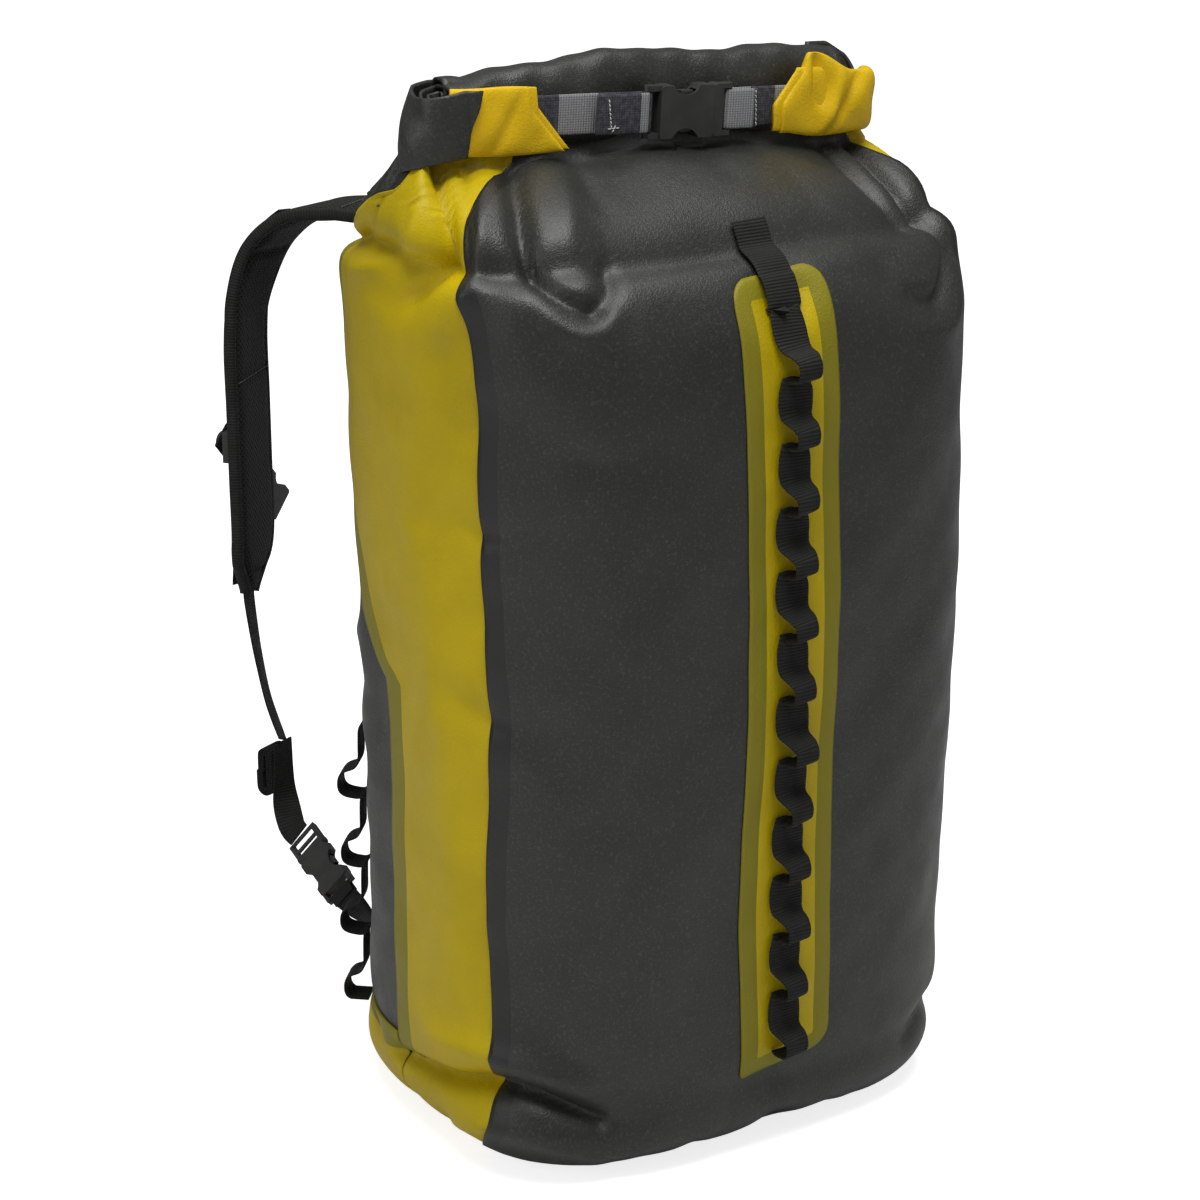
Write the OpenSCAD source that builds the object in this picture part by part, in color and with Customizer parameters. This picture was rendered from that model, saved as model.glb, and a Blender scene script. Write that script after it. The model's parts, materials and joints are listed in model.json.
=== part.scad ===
// Roll-top waterproof pack sack: a welded fabric sack on a flat base, a rolled and
// buckled mouth, a lashing strip down the front and a pair of shoulder straps behind.
// Millimetres. +Z is up, -Y is the front, and the origin is the middle of the base.

/* [Sack] */
// Width of the filled sack at the top
sack_w = 378; // [320:2:440]
// Width of the filled sack at the bottom
foot_w = 358; // [300:2:430]
// Depth of the filled sack, front to back
sack_d = 284; // [230:2:340]
// Height of the neck, where the sack is pressed flat
sack_h = 644; // [560:2:720]
// Radius of the bottom edge
base_r = 40; // [30:1:50]
// How square the plan of the sack is, 2 for an ellipse
corner_power = 3.4; // [2.6:0.1:4.5]
// Height over which the depth closes to the neck
taper_h = 190; // [150:5:240]
// Height over which the width closes to the neck
gather_h = 52; // [40:2:90]
// Width of the flat neck
neck_w = 345; // [290:1:370]
// Depth of the flat neck
neck_d = 32; // [24:1:44]

/* [Fabric] */
// Thickness of the coated fabric
fabric_t = 1.5; // [1:0.1:2.2]
// Gap left between two welded layers
weld_gap = 0.3; // [0.2:0.05:0.6]
// Width of a welded lap, in degrees round the sack
lap = 7; // [4:0.5:9]
// Thickness of the stiff base panel
base_t = 2; // [1.5:0.1:3]
// Where the front panel meets a side panel, in degrees past the side
front_seam = 25; // [15:1:35]
// The same seam at the neck
front_seam_top = 60; // [30:1:65]
// The same seam under the bottom edge
front_seam_foot = 12; // [10:1:25]
// Where the back panel meets a side panel at the bottom, in degrees past the side
back_seam_low = 1; // [1:0.5:20]
// The same seam at the top
back_seam_top = 26; // [20:1:40]
// Height of the band below the back panel
band_h = 70; // [62:1:80]

/* [Rolled mouth] */
// Length of the roll between its folded ends
roll_w = 292; // [250:2:320]
// Height of the roll
roll_h = 58; // [50:1:72]
// Thickness of the roll, front to back
roll_t = 36; // [30:1:44]
// Turns of the collar in the roll
roll_turns = 2.5; // [1.5:0.5:3]
// Width of the stiff lip strip
lip_w = 20; // [14:1:24]
// Thickness of the stiff lip strip
lip_t = 2; // [1:0.25:2.5]
// Length of the folded end on the left
cuff_left = 70; // [60:1:80]
// Length of the folded end on the right
cuff_right = 52; // [48:1:70]
// Height of a folded end
cuff_h = 42; // [36:1:48]
// Thickness of a folded end
cuff_t = 12; // [11.5:0.5:14]
// How far the mouth leans down to the right, in degrees
mouth_lean = 3.5; // [0:0.5:5]
// How far the mouth sits to the left of the middle
mouth_shift = 9; // [0:1:15]

/* [Webbing and buckles] */
// Width of the webbing
web_w = 25; // [20:1:26]
// Thickness of the webbing
web_t = 1.6; // [1.2:0.1:1.8]
// Width of a buckle
buckle_w = 33; // [32:0.5:36]
// Thickness of a buckle
buckle_t = 11; // [10:0.5:13]
// Radius of the bar that webbing turns round
bar_r = 2; // [1.6:0.1:2.2]
// Size of the chest buckle against the others
chest_scale = 0.78; // [0.7:0.02:0.85]
// Size of the lower buckles and their webbing, as a share of the mouth buckle
low_scale = 0.78; // [0.7:0.02:0.85]
// Where the middle of the mouth buckle is, to the right of the roll's middle
mouth_buckle_x = 17; // [8:1:20]

/* [Lashing strips] */
// Width of the welded patch
patch_w = 69; // [56:1:80]
// Thickness of the welded patch
patch_t = 1.2; // [0.8:0.1:1.6]
// Where the middle of the patch is, to the right of the middle
patch_x = 8; // [0:1:24]
// Height of the foot of the patch
patch_low = 64; // [60:1:90]
// How far the patch stops below the neck
patch_drop = 57; // [52:1:90]
// Loops in the front strip
front_loops = 13; // [8:1:15]
// How far a front loop stands off
front_loop_out = 20; // [14:1:24]
// Loops in a back strip
back_loops = 4; // [3:1:5]
// Spacing of the back loops
back_pitch = 51; // [40:1:52]
// How far a back loop stands off
back_loop_out = 17; // [14:1:24]

/* [Shoulder straps] */
// Width of the pad
pad_w = 57; // [50:1:66]
// Thickness of the pad
pad_t = 11; // [8:1:14]
// Radius of the ring bar that the strap hangs from
ring_r = 2.4; // [2:0.1:3]
// Running clearance round a bar or a knuckle
clear = 0.1; // [0.05:0.01:0.15]
// Height of the rolled spare strap
tail_h = 38; // [30:1:42]
// Thickness of the rolled spare strap
tail_t = 15; // [13:1:18]
// Height of the chest buckle's slider above the floor
chest_z = 408; // [390:1:440]
// How far the chest buckle hangs below level, in degrees
chest_droop = 48; // [30:1:80]

/* [Hidden] */

DARK = "#3b3c38";
YELLOW = "#d9b414";
BLACK = "#1b1b19";
GREY = "#8c8c86";
PLASTIC = "#2a2b28";

LEFT = -1;
RIGHT = 1;
ROUND = 32;
FINE = 64;

// ---- The skin ----
// Layers of the skin, as offsets out from its nominal surface
side_in = 0;
side_out = side_in + fabric_t;
front_in = side_out + weld_gap;
front_out = front_in + fabric_t;
back_out = side_in - weld_gap;
back_in = back_out - fabric_t;

// The skin's rows: a round bottom edge, upright sides and a closing top
foot_steep = 80;
foot_z = base_t + weld_gap + (base_r + front_out) * sin(foot_steep);
band_lap = 14;
foot_steps = 5;
side_steps = 4;
top_steps = 9;
foot_rows = [for (k = [0:foot_steps]) ["foot", foot_steep * (1 - k / foot_steps)]];
band_rows = [["side", band_h - band_lap], ["side", band_h]];
side_rows = [for (k = [1:side_steps]) ["side", band_h + (sack_h - taper_h - band_h) * k / side_steps]];
top_rows = [for (k = [1:top_steps]) ["side", sack_h - taper_h + taper_h * sin(90 * k / top_steps)]];
skin_rows = concat(foot_rows, band_rows, side_rows, top_rows);

width_power = 2;
depth_power = 5;
function share_above(z, span) = max(0, (z - sack_h + span) / span);
function full_w(z) = foot_w + (sack_w - foot_w) * min(1, z / (sack_h - gather_h));
function half_w(z) = (full_w(z) - (full_w(z) - neck_w) * pow(share_above(z, gather_h), width_power)) / 2;
function half_d(z) = (sack_d - (sack_d - neck_d) * pow(share_above(z, taper_h), depth_power)) / 2;
function slope_w(z) = half_w(z - 0.5) - half_w(z + 0.5);
function slope_d(z) = half_d(z - 0.5) - half_d(z + 0.5);
function steep(slope) = slope / sqrt(1 + slope * slope);
function level(slope) = 1 / sqrt(1 + slope * slope);

// A superellipse of half sizes a and b, at a turn in degrees from +X
function round_power(c) = sign(c) * pow(abs(c), 2 / corner_power);
function plan(a, b, turn) = [a * round_power(cos(turn)), b * round_power(sin(turn))];

// The top leans and shifts with the mouth
function lean_share(z) = pow(share_above(z, taper_h), 2);
function leaned(p) =
    let (s = lean_share(p[2]))
    [p[0] - mouth_shift * s, p[1], p[2] - tan(mouth_lean) * p[0] * s];

// A point of the skin, off millimetres out from the nominal surface
function skin(turn, row, off) =
    row[0] == "foot" ?
        let (reach = (base_r + off) * cos(row[1]) - base_r,
             q = plan(half_w(foot_z) + reach, half_d(foot_z) + reach, turn))
        [q[0], q[1], foot_z - (base_r + off) * sin(row[1])]
    :
        let (z = row[1], sw = slope_w(z), sd = slope_d(z),
             q = plan(half_w(z) + off * level(sw), half_d(z) + off * level(sd), turn),
             lift = off * (pow(cos(turn), 2) * steep(sw) + pow(sin(turn), 2) * steep(sd)))
        leaned([q[0], q[1], z + lift]);

function row_z(row) = row[0] == "foot" ? foot_z - base_r * sin(row[1]) : row[1];

// The front seam of the left side panel, as a turn at a height
seam_rise = 60;
function front_turn(z) = 180 + (z < foot_z ?
    front_seam_foot + (front_seam - front_seam_foot) * (z - base_t) / (foot_z - base_t)
    : front_seam + (front_seam_top - front_seam) * pow(share_above(z, seam_rise), 2.5));
// The back seam of the left side panel, as a turn at a height
seam_low_z = sack_h * 0.5;
seam_top_z = sack_h * 0.72;
function seam_share(z) = min(1, max(0, (z - seam_low_z) / (seam_top_z - seam_low_z)));
function back_turn(z) = 180 - back_seam_low - (back_seam_top - back_seam_low) * seam_share(z);
function steps_between(a, b, n) = [for (k = [0:n]) a + (b - a) * k / n];

// The columns of each panel, which share their places wherever two panels lap
front_cols = 20;
side_cols = 8;
back_cols = 24;
function front_turns(z) = let (f = front_turn(z))
    concat([f], steps_between(f + lap, 540 - f - lap, front_cols), [540 - f]);
function left_turns(z) = let (f = front_turn(z), b = back_turn(z))
    concat([b], steps_between(b + lap, f, side_cols), [f + lap]);
function right_turns(z) = let (f = front_turn(z), b = back_turn(z))
    concat([540 - f - lap], steps_between(540 - f, 540 - b - lap, side_cols), [540 - b]);
function back_turns(z) = let (b = back_turn(z))
    concat([180 - b - lap], steps_between(180 - b, b, back_cols), [b + lap]);
// The band stops this many degrees short of a side panel
band_gap = 0.3;
function band_turns(z) = let (b = back_turn(z), e = steps_between(180 - b, b, back_cols))
    [for (k = [0:back_cols]) e[k] + (k == 0 ? band_gap : k == back_cols ? -band_gap : 0)];

// A closed sheet from two grids of points, the outer one and the inner one
module sheet(outer, inner) {
    rows = len(outer);
    cols = len(outer[0]);
    n = rows * cols;
    points = concat([for (r = outer) each r], [for (r = inner) each r]);
    function at(r, c) = r * cols + c;
    function quad(a, b, c, d) = [[a, b, c], [a, c, d]];
    faces = concat(
        [for (r = [0:rows - 2]) for (c = [0:cols - 2]) each
            quad(at(r, c), at(r + 1, c), at(r + 1, c + 1), at(r, c + 1))],
        [for (r = [0:rows - 2]) for (c = [0:cols - 2]) each
            [[n + at(r, c), n + at(r + 1, c + 1), n + at(r + 1, c)],
             [n + at(r, c), n + at(r, c + 1), n + at(r + 1, c + 1)]]],
        [for (r = [0:rows - 2]) each quad(at(r, 0), n + at(r, 0), n + at(r + 1, 0), at(r + 1, 0))],
        [for (r = [0:rows - 2]) let (c = cols - 1) each
            quad(at(r, c), at(r + 1, c), n + at(r + 1, c), n + at(r, c))],
        [for (c = [0:cols - 2]) each quad(at(0, c), at(0, c + 1), n + at(0, c + 1), n + at(0, c))],
        [for (c = [0:cols - 2]) let (r = rows - 1) each
            quad(at(r, c), n + at(r, c), n + at(r, c + 1), at(r, c + 1))]
    );
    polyhedron(points, faces, convexity = 6);
}

// A panel of the skin, from a list of turns for each row
module panel(rows, turns, off_in, off_out) {
    function grid(off) = [for (i = [0:len(rows) - 1]) [for (t = turns[i]) skin(t, rows[i], off)]];
    sheet(grid(off_out), grid(off_in));
}

module front_panel() {
    color(DARK)
        panel(skin_rows, [for (r = skin_rows) front_turns(row_z(r))], front_in, front_out);
}

module side_panel_left() {
    color(YELLOW)
        panel(skin_rows, [for (r = skin_rows) left_turns(row_z(r))], side_in, side_out);
}

module side_panel_right() {
    color(YELLOW)
        panel(skin_rows, [for (r = skin_rows) right_turns(row_z(r))], side_in, side_out);
}

module back_panel() {
    rows = concat(band_rows, side_rows, top_rows);
    color(DARK)
        panel(rows, [for (r = rows) back_turns(row_z(r))], back_in, back_out);
}

// The band closes the back below the back panel, between the two side panels
module base_band() {
    rows = concat(foot_rows, band_rows);
    color(YELLOW)
        panel(rows, [for (r = rows) band_turns(row_z(r))], side_in, side_out);
}

base_lap = 3;
base_reach = (base_r + front_out) * cos(foot_steep) - base_r + base_lap;
base_corners = 72;
module base_panel() {
    color(DARK)
        linear_extrude(base_t)
            polygon([for (k = [0:base_corners - 1])
                plan(half_w(foot_z) + base_reach, half_d(foot_z) + base_reach, 360 * k / base_corners)]);
}

// ---- Rolled mouth ----
roll_sit = roll_h / 2 - 2;
roll_z = sack_h + front_out + roll_sit;
layer_t = 2 * fabric_t;
roll_gap = 0.4;
module on_roll() {
    translate([-mouth_shift, 0, roll_z])
        rotate([0, mouth_lean, 0])
            children();
}

// The rolled layers, as depth and height at a turn, getting flatter toward the lip
function roll_point(turn, off) =
    let (share = turn / (360 * roll_turns),
         w = (roll_t - layer_t) / 2 * (1 - share) + ((lip_t + layer_t) / 2 + 1) * share + off,
         h = (roll_h - layer_t) / 2 * (1 - share) + ((lip_w + layer_t) / 2 + 1) * share + off)
    [w * sign(cos(turn)) * pow(abs(cos(turn)), 0.7), h * sign(sin(turn)) * pow(abs(sin(turn)), 0.7)];

roll_steps = round(30 * roll_turns);
module roll_profile() {
    turns = [for (k = [0:roll_steps]) 360 * roll_turns * k / roll_steps];
    polygon(concat([for (t = turns) roll_point(t, layer_t / 2)],
        [for (k = [roll_steps:-1:0]) roll_point(turns[k], -layer_t / 2)]));
    // the outer layer runs down the back to the neck and closes it under the roll
    translate([roll_t / 2 - layer_t, roll_gap - roll_sit])
        square([layer_t, roll_sit]);
    translate([-neck_d / 2, roll_gap - roll_sit])
        square([neck_d / 2 + roll_t / 2, fabric_t]);
}

// Turns a profile drawn as depth and height into a bar along X
module along_x(length) {
    rotate([90, 0, 90])
        linear_extrude(length, center = true)
            children();
}

module roll_collar() {
    color(DARK)
        on_roll()
            along_x(roll_w)
                roll_profile();
}

module lip_stiffener() {
    color(GREY)
        on_roll()
            cube([roll_w - 10, lip_t, lip_w], center = true);
}

cuff_wall = 2;
cuff_r = 16;
bend_y = 8 - roll_t / 2;
cuff_y = bend_y - cuff_r;

// The flattened hollow section of a folded end
module cuff_section() {
    difference() {
        square([cuff_t, cuff_h], center = true);
        square([cuff_t - 2 * cuff_wall, cuff_h - 2 * cuff_wall], center = true);
    }
}

module roll_bend(side) {
    color(DARK)
        on_roll()
            translate([side * (roll_w / 2 + roll_gap), bend_y, 0])
                rotate([0, 0, -90 * side])
                    rotate_extrude(angle = 180, $fn = FINE)
                        translate([cuff_r, 0])
                            cuff_section();
}

module roll_end(side, length) {
    color(YELLOW)
        on_roll()
            translate([side * (roll_w - length) / 2, cuff_y, 0])
                along_x(length)
                    cuff_section();
}

// ---- Buckle, drawn with its length along X, its width along Y and its face along Z ----
body_l = 40;
side_wall = 2.9;
face_wall = 1.7;
socket_w = buckle_w - 2 * side_wall;
socket_t = buckle_t - 2 * face_wall;
slot_l = 4.6;
slot_w = web_w + 1.4;
bar_x = -(slot_l + bar_r + 1);
fit = 0.3;
prong_x = 34;
prong_y = socket_w / 2 - 4;
prong_r = 2;
prong_tip = 14;
pad_r = 2.45;
pad_l = 4;
arm_in = 1.5;
arm_out = 1.1;
plug_base = body_l + 0.4;
plug_base_l = 7;
plug_bar_x = plug_base + plug_base_l + slot_l + bar_r;
ladder_bar_x = plug_bar_x + slot_l + 2 * bar_r;
frame_wall = (buckle_w - slot_w) / 2;

module rounded(length, width, r) {
    hull()
        for (x = [r, length - r], y = [-width / 2 + r, width / 2 - r])
            translate([x, y])
                circle(r, $fn = ROUND);
}

// The two side rails that carry a webbing bar
module bar_rails(reach, thick) {
    for (s = [LEFT, RIGHT])
        translate([0, s * (buckle_w - frame_wall) / 2 - frame_wall / 2, -thick / 2])
            cube([reach, frame_wall, thick]);
}

module web_bar(x) {
    translate([x, 0, 0])
        rotate([90, 0, 0])
            cylinder(h = buckle_w, r = bar_r, center = true, $fn = ROUND);
}

module finger_scoops() {
    for (s = [LEFT, RIGHT])
        translate([body_l * 0.48, s * (buckle_w / 2 + 5), 0])
            cylinder(h = buckle_t + 2, r = 11, center = true, $fn = FINE);
}

module buckle_body() {
    color(PLASTIC) {
        difference() {
            linear_extrude(buckle_t, center = true)
                rounded(body_l, buckle_w, 2.5);
            translate([2.5, -socket_w / 2, -socket_t / 2])
                cube([body_l, socket_w, socket_t]);
            finger_scoops();
        }
        translate([bar_x, 0, 0])
            bar_rails(1.5 - bar_x, buckle_t - 3);
        web_bar(bar_x);
    }
}

// One bar past the plug's base, or two where the webbing is adjusted there
module plug_core(bars) {
    tongue_t = socket_t - 2 * fit;
    color(PLASTIC) {
        difference() {
            union() {
                translate([plug_base, 0, 0])
                    linear_extrude(buckle_t - 1.5, center = true)
                        rounded(plug_base_l, buckle_w, 2);
                translate([prong_x - 4, -socket_w / 2 + fit, -tongue_t / 2])
                    cube([plug_base - prong_x + 5, socket_w - 2 * fit, tongue_t]);
                translate([prong_tip, -3, -tongue_t / 2])
                    cube([prong_x - prong_tip, 6, tongue_t]);
            }
            for (s = [LEFT, RIGHT]) {
                translate([prong_x, s * prong_y, 0])
                    cylinder(h = buckle_t, r = prong_r + clear, center = true, $fn = ROUND);
                mirror([0, s < 0 ? 1 : 0, 0])
                    translate([prong_x - 6, prong_y - arm_in - 0.9, -buckle_t / 2])
                        cube([4.9, 7.4, buckle_t]);
            }
        }
        translate([plug_base + plug_base_l - 1, 0, 0])
            bar_rails(bars[len(bars) - 1] - plug_base - plug_base_l + 1, buckle_t - 4);
        for (x = bars)
            web_bar(x);
    }
}

// A sprung arm with a knuckle at its root and a finger pad near its tip
module prong(side) {
    tip = prong_tip - prong_x + 2;
    color(PLASTIC)
        translate([prong_x, side * prong_y, 0])
            mirror([0, side < 0 ? 1 : 0, 0])
                linear_extrude(socket_t - 2 * fit - 0.4, center = true) {
                    circle(prong_r, $fn = ROUND);
                    translate([tip, -arm_in])
                        square([-tip, arm_in + arm_out]);
                    translate([tip, -arm_in])
                        square([2 * pad_r + pad_l, 2 * pad_r]);
                    for (x = [pad_r, pad_r + pad_l])
                        translate([tip + x, pad_r - arm_in])
                            circle(pad_r, $fn = ROUND);
                }
}

// Webbing that comes from far, turns round a bar at the origin and goes back to near
turn_r = bar_r + clear + web_t;
module fold_profile(far, near) {
    difference() {
        union() {
            circle(turn_r, $fn = FINE);
            translate([-far, turn_r - web_t])
                square([far, web_t]);
            translate([-near, -turn_r])
                square([near, web_t]);
        }
        circle(turn_r - web_t, $fn = FINE);
        translate([-turn_r, web_t - turn_r])
            square([turn_r, 2 * (turn_r - web_t)]);
    }
}

module folded_webbing(far, near) {
    linear_extrude(web_w, center = true)
        fold_profile(far, near);
}

// ---- Mouth buckle, across the front of the roll ----
mouth_x0 = mouth_buckle_x - body_l / 2 - 2;
left_in = 40;
right_in = 16;
left_near = 38;
right_near = 20;
module at_mouth(x) {
    on_roll()
        translate([mouth_x0 + x, cuff_y, 0])
            children();
}

module on_mouth() {
    at_mouth(0)
        rotate([90, 0, 0])
            children();
}

module mouth_webbing_left() {
    color(GREY)
        at_mouth(bar_x)
            folded_webbing(roll_w / 2 + mouth_x0 + bar_x - cuff_left + left_in, left_near);
}

module mouth_webbing_right() {
    color(GREY)
        at_mouth(plug_bar_x)
            mirror([1, 0, 0])
                folded_webbing(roll_w / 2 - mouth_x0 - plug_bar_x - cuff_right + right_in, right_near);
}

// ---- Lashing strips ----
// The turn on the front of the skin at a distance along X
function front_turn_at(x, row) = let (z = row_z(row), q = min(1, abs(x) / half_w(z)))
    270 + sign(x) * asin(pow(q, corner_power / 2));
function back_turn_at(x, row) = 360 - front_turn_at(x, row);

patch_gap = 0.4;
patch_off = front_out + patch_gap;
patch_high = sack_h - patch_drop;
patch_r = 14;
patch_steps = 5;
patch_rows = 22;
patch_cols = 8;
// The patch narrows round its corners at both ends
patch_zs = concat(
    [for (k = [0:patch_steps]) patch_low + patch_r * (1 - cos(90 * k / patch_steps))],
    [for (k = [1:patch_rows - 1])
        patch_low + patch_r + (patch_high - patch_low - 2 * patch_r) * k / patch_rows],
    [for (k = [0:patch_steps]) patch_high - patch_r * (1 - sin(90 * k / patch_steps))]);
function patch_half(z) = let (d = min(z - patch_low, patch_high - z, patch_r))
    patch_w / 2 - patch_r + sqrt(max(0, patch_r * patch_r - pow(patch_r - d, 2)));
module lash_patch() {
    rows = [for (z = patch_zs) ["side", z]];
    turns = [for (r = rows)
        [for (x = steps_between(-1, 1, patch_cols)) front_turn_at(patch_x + x * patch_half(r[1]), r)]];
    color(YELLOW)
        panel(rows, turns, patch_off, patch_off + patch_t);
}

// The middle of the front or back of the skin, as depth and height
function face_point(z, off) = [half_d(z) + off * level(slope_d(z)), z + off * steep(slope_d(z))];

// One loop of a strip stands off and droops, then tucks back under itself
loop_droop = 7;
loop_steps = 14;
function loop_share(part) = pow((1 - cos(360 * part)) / 2, 1.3);
function strip_point(share, top, pitch, out, off) =
    let (stand = loop_share(share - floor(share)), base = face_point(top - pitch * share, off))
    [base[0] + out * stand, base[1] - loop_droop * stand];

module strip_profile(top, loops, pitch, out, off) {
    steps = loop_steps * loops;
    line = [for (k = [0:steps]) strip_point(k / loop_steps, top, pitch, out, off)];
    function along(k) = let (d = line[min(steps, k + 1)] - line[max(0, k - 1)]) d / norm(d);
    function wide(k, by) = line[k] + by * [-along(k)[1], along(k)[0]];
    polygon(concat([for (k = [0:steps]) wide(k, web_t / 2)], [for (k = [steps:-1:0]) wide(k, -web_t / 2)]));
}

lash_top = sack_h - 34;
lash_low = patch_low + 14;
lash_pitch = (lash_top - lash_low) / front_loops;
lash_off = patch_off + patch_t + web_t / 2 + 0.6;
module lash_webbing() {
    color(BLACK)
        translate([patch_x, 0, 0])
            mirror([0, 1, 0])
                along_x(web_w)
                    strip_profile(lash_top, front_loops, lash_pitch, front_loop_out, lash_off);
}

// The outward direction of the plan at a turn on the back, as an angle
function plan_normal(turn) =
    let (a = foot_w / 2, b = sack_d / 2, q = plan(a, b, turn))
    atan2(pow(abs(q[1]) / b, corner_power - 1) / b, sign(q[0]) * pow(abs(q[0]) / a, corner_power - 1) / a);

daisy_turn = 37;
daisy_top = foot_z + 3 + back_loops * back_pitch;
daisy_w = web_w * 0.8;
daisy_off = side_out + web_t / 2 + 1.6;
module back_daisy(side) {
    q = plan(foot_w / 2, sack_d / 2, daisy_turn);
    color(BLACK)
        mirrored(side)
            translate([q[0], q[1], 0])
                rotate([0, 0, plan_normal(daisy_turn) - 90])
                    translate([0, -sack_d / 2, 0])
                        along_x(daisy_w)
                            strip_profile(daisy_top, back_loops, back_pitch, back_loop_out, daisy_off);
}

// ---- Shoulder straps, drawn on the right and mirrored to the left ----
module mirrored(side) {
    mirror([side < 0 ? 1 : 0, 0, 0])
        children();
}

anchor_x = 75;
yoke_low = sack_h - 118;
yoke_high = sack_h - 46;
yoke_half = 105;
yoke_out = back_out + weld_gap + fabric_t;
module yoke_patch() {
    rows = [for (z = steps_between(yoke_low, yoke_high, 6)) ["side", z]];
    color(DARK)
        panel(rows, [for (r = rows) [for (x = steps_between(yoke_half, -yoke_half, 14)) back_turn_at(x, r)]],
            back_out + weld_gap, yoke_out);
}

ring_z = sack_h - 76;
ring_rise = 12;
ring_step = 7;
ring_w = web_w + 7;
ring_rail = 3;
rail_in = 0.6;
ring_y = half_d(ring_z) + yoke_out + 6;
strap_y = ring_y + ring_step;
strap_z = ring_z + ring_rise;

module cross_bar(y, z) {
    translate([anchor_x, y, z])
        rotate([0, 90, 0])
            cylinder(h = ring_w - 2 * rail_in, r = ring_r, center = true, $fn = ROUND);
}

module anchor_ring(side) {
    color(PLASTIC)
        mirrored(side) {
            cross_bar(ring_y, ring_z);
            cross_bar(strap_y, strap_z);
            for (s = [LEFT, RIGHT])
                translate([anchor_x + s * (ring_w - ring_rail) / 2, ring_y, ring_z])
                    rotate([atan2(ring_rise, ring_step), 0, 0])
                        translate([-ring_rail / 2, 0, rail_in - ring_r])
                            cube([ring_rail, norm([ring_rise, ring_step]), 2 * (ring_r - rail_in)]);
        }
}

// A webbing eye round a bar, with a leg that leaves at an angle above or below it
module eye_profile(angle, leg, above) {
    inner = ring_r + clear;
    difference() {
        union() {
            circle(inner + web_t, $fn = FINE);
            rotate(angle)
                translate([0, above ? inner : -inner - web_t])
                    square([leg, web_t]);
        }
        circle(inner, $fn = FINE);
    }
}

tab_drop = 40;
tab_angle = -90 + atan(slope_d(ring_z - tab_drop / 2));
module anchor_tab(side) {
    color(BLACK)
        mirrored(side)
            translate([anchor_x, ring_y, ring_z])
                along_x(web_w)
                    eye_profile(tab_angle, tab_drop, false);
}

// Route of the pad's middle, from its root at the ring to its tip
root = [anchor_x, strap_y, strap_z];
hang_x = 162.5;
hang_y = strap_y + 117.8;
root_step = [5, 16, 2];
pad_route = [
    root + root_step, root + [17, 36, 2], root + [34, 62, 1], root + [55, 89, -6],
    root + [73, 108, -28], root + [84, 116, -62], [hang_x, hang_y, 486], [hang_x, hang_y, 440],
    [hang_x, hang_y, 390], [hang_x, hang_y, 344],
    [hang_x + 4, hang_y - 2, 322], [hang_x + 7, hang_y - 5, 302]
];
pad_yaw = -40;

// The eye's leg stops short of the pad
leg_gap = 4;
module strap_loop(side) {
    leg = norm([root_step[1], root_step[2]]) - leg_gap;
    color(BLACK)
        mirrored(side)
            translate(root)
                along_x(web_w)
                    eye_profile(atan2(root_step[2], root_step[1]), leg, true);
}

function mix(a, b, s) = a + (b - a) * s;
function curve(route, s) =
    let (n = len(route) - 1, k = min(n - 1, floor(s * n)), t = s * n - k,
         a = route[max(0, k - 1)], b = route[k], c = route[k + 1], d = route[min(n, k + 2)])
    0.5 * (2 * b + (c - a) * t + (2 * a - 5 * b + 4 * c - d) * t * t + (3 * b - a - 3 * c + d) * t * t * t);
function unit(v) = v / norm(v);
function tangent(route, s) = unit(curve(route, min(1, s + 0.01)) - curve(route, max(0, s - 0.01)));
function square_to(w, t) = unit(w - (w * t) * t);
function facing(yaw) = [cos(yaw), sin(yaw), 0];
function pad_wide(s) = square_to(facing(mix(0, pad_yaw, min(1, s * 2))), tangent(pad_route, s));
function pad_out(s) = cross(pad_wide(s), tangent(pad_route, s));

// A tube swept along rings of points, closed at both ends
module swept(rings) {
    n = len(rings[0]);
    last = len(rings) - 1;
    faces = concat(
        [for (i = [0:last - 1]) for (j = [0:n - 1]) each
            [[i * n + j, (i + 1) * n + (j + 1) % n, (i + 1) * n + j],
             [i * n + j, i * n + (j + 1) % n, (i + 1) * n + (j + 1) % n]]],
        [[for (j = [n - 1:-1:0]) j]],
        [[for (j = [0:n - 1]) last * n + j]]
    );
    polyhedron([for (r = rings) each r], faces, convexity = 8);
}

// The pad's outline narrows at both ends
root_end = 0.12;
tip_end = 0.9;
function pad_half(s) = pad_w / 2 * (s < root_end ? mix(0.55, 1, s / root_end)
    : s > tip_end ? mix(1, 0.45, (s - tip_end) / (1 - tip_end)) : 1);

pad_steps = 26;
pad_bevel = 3;
module strap_pad(side) {
    t = pad_t / 2;
    b = pad_bevel;
    color(BLACK)
        mirrored(side)
            swept([for (s = steps_between(0, 1, pad_steps))
                let (c = curve(pad_route, s), w = pad_wide(s), o = pad_out(s), h = pad_half(s))
                [for (q = [[-h, b - t], [b - h, -t], [h - b, -t], [h, b - t],
                           [h, t - b], [h - b, t], [b - h, t], [-h, t - b]])
                    c + q[0] * w + q[1] * o]]);
}

// Flat webbing swept along points, with its own width direction and thickness at each
module ribbon(points, wides, outs, width, thicks) {
    swept([for (k = [0:len(points) - 1])
        [for (q = [[-1, -1], [1, -1], [1, 1], [-1, 1]])
            points[k] + q[0] * width / 2 * wides[k] + q[1] * thicks[k] / 2 * outs[k]]]);
}

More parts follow.
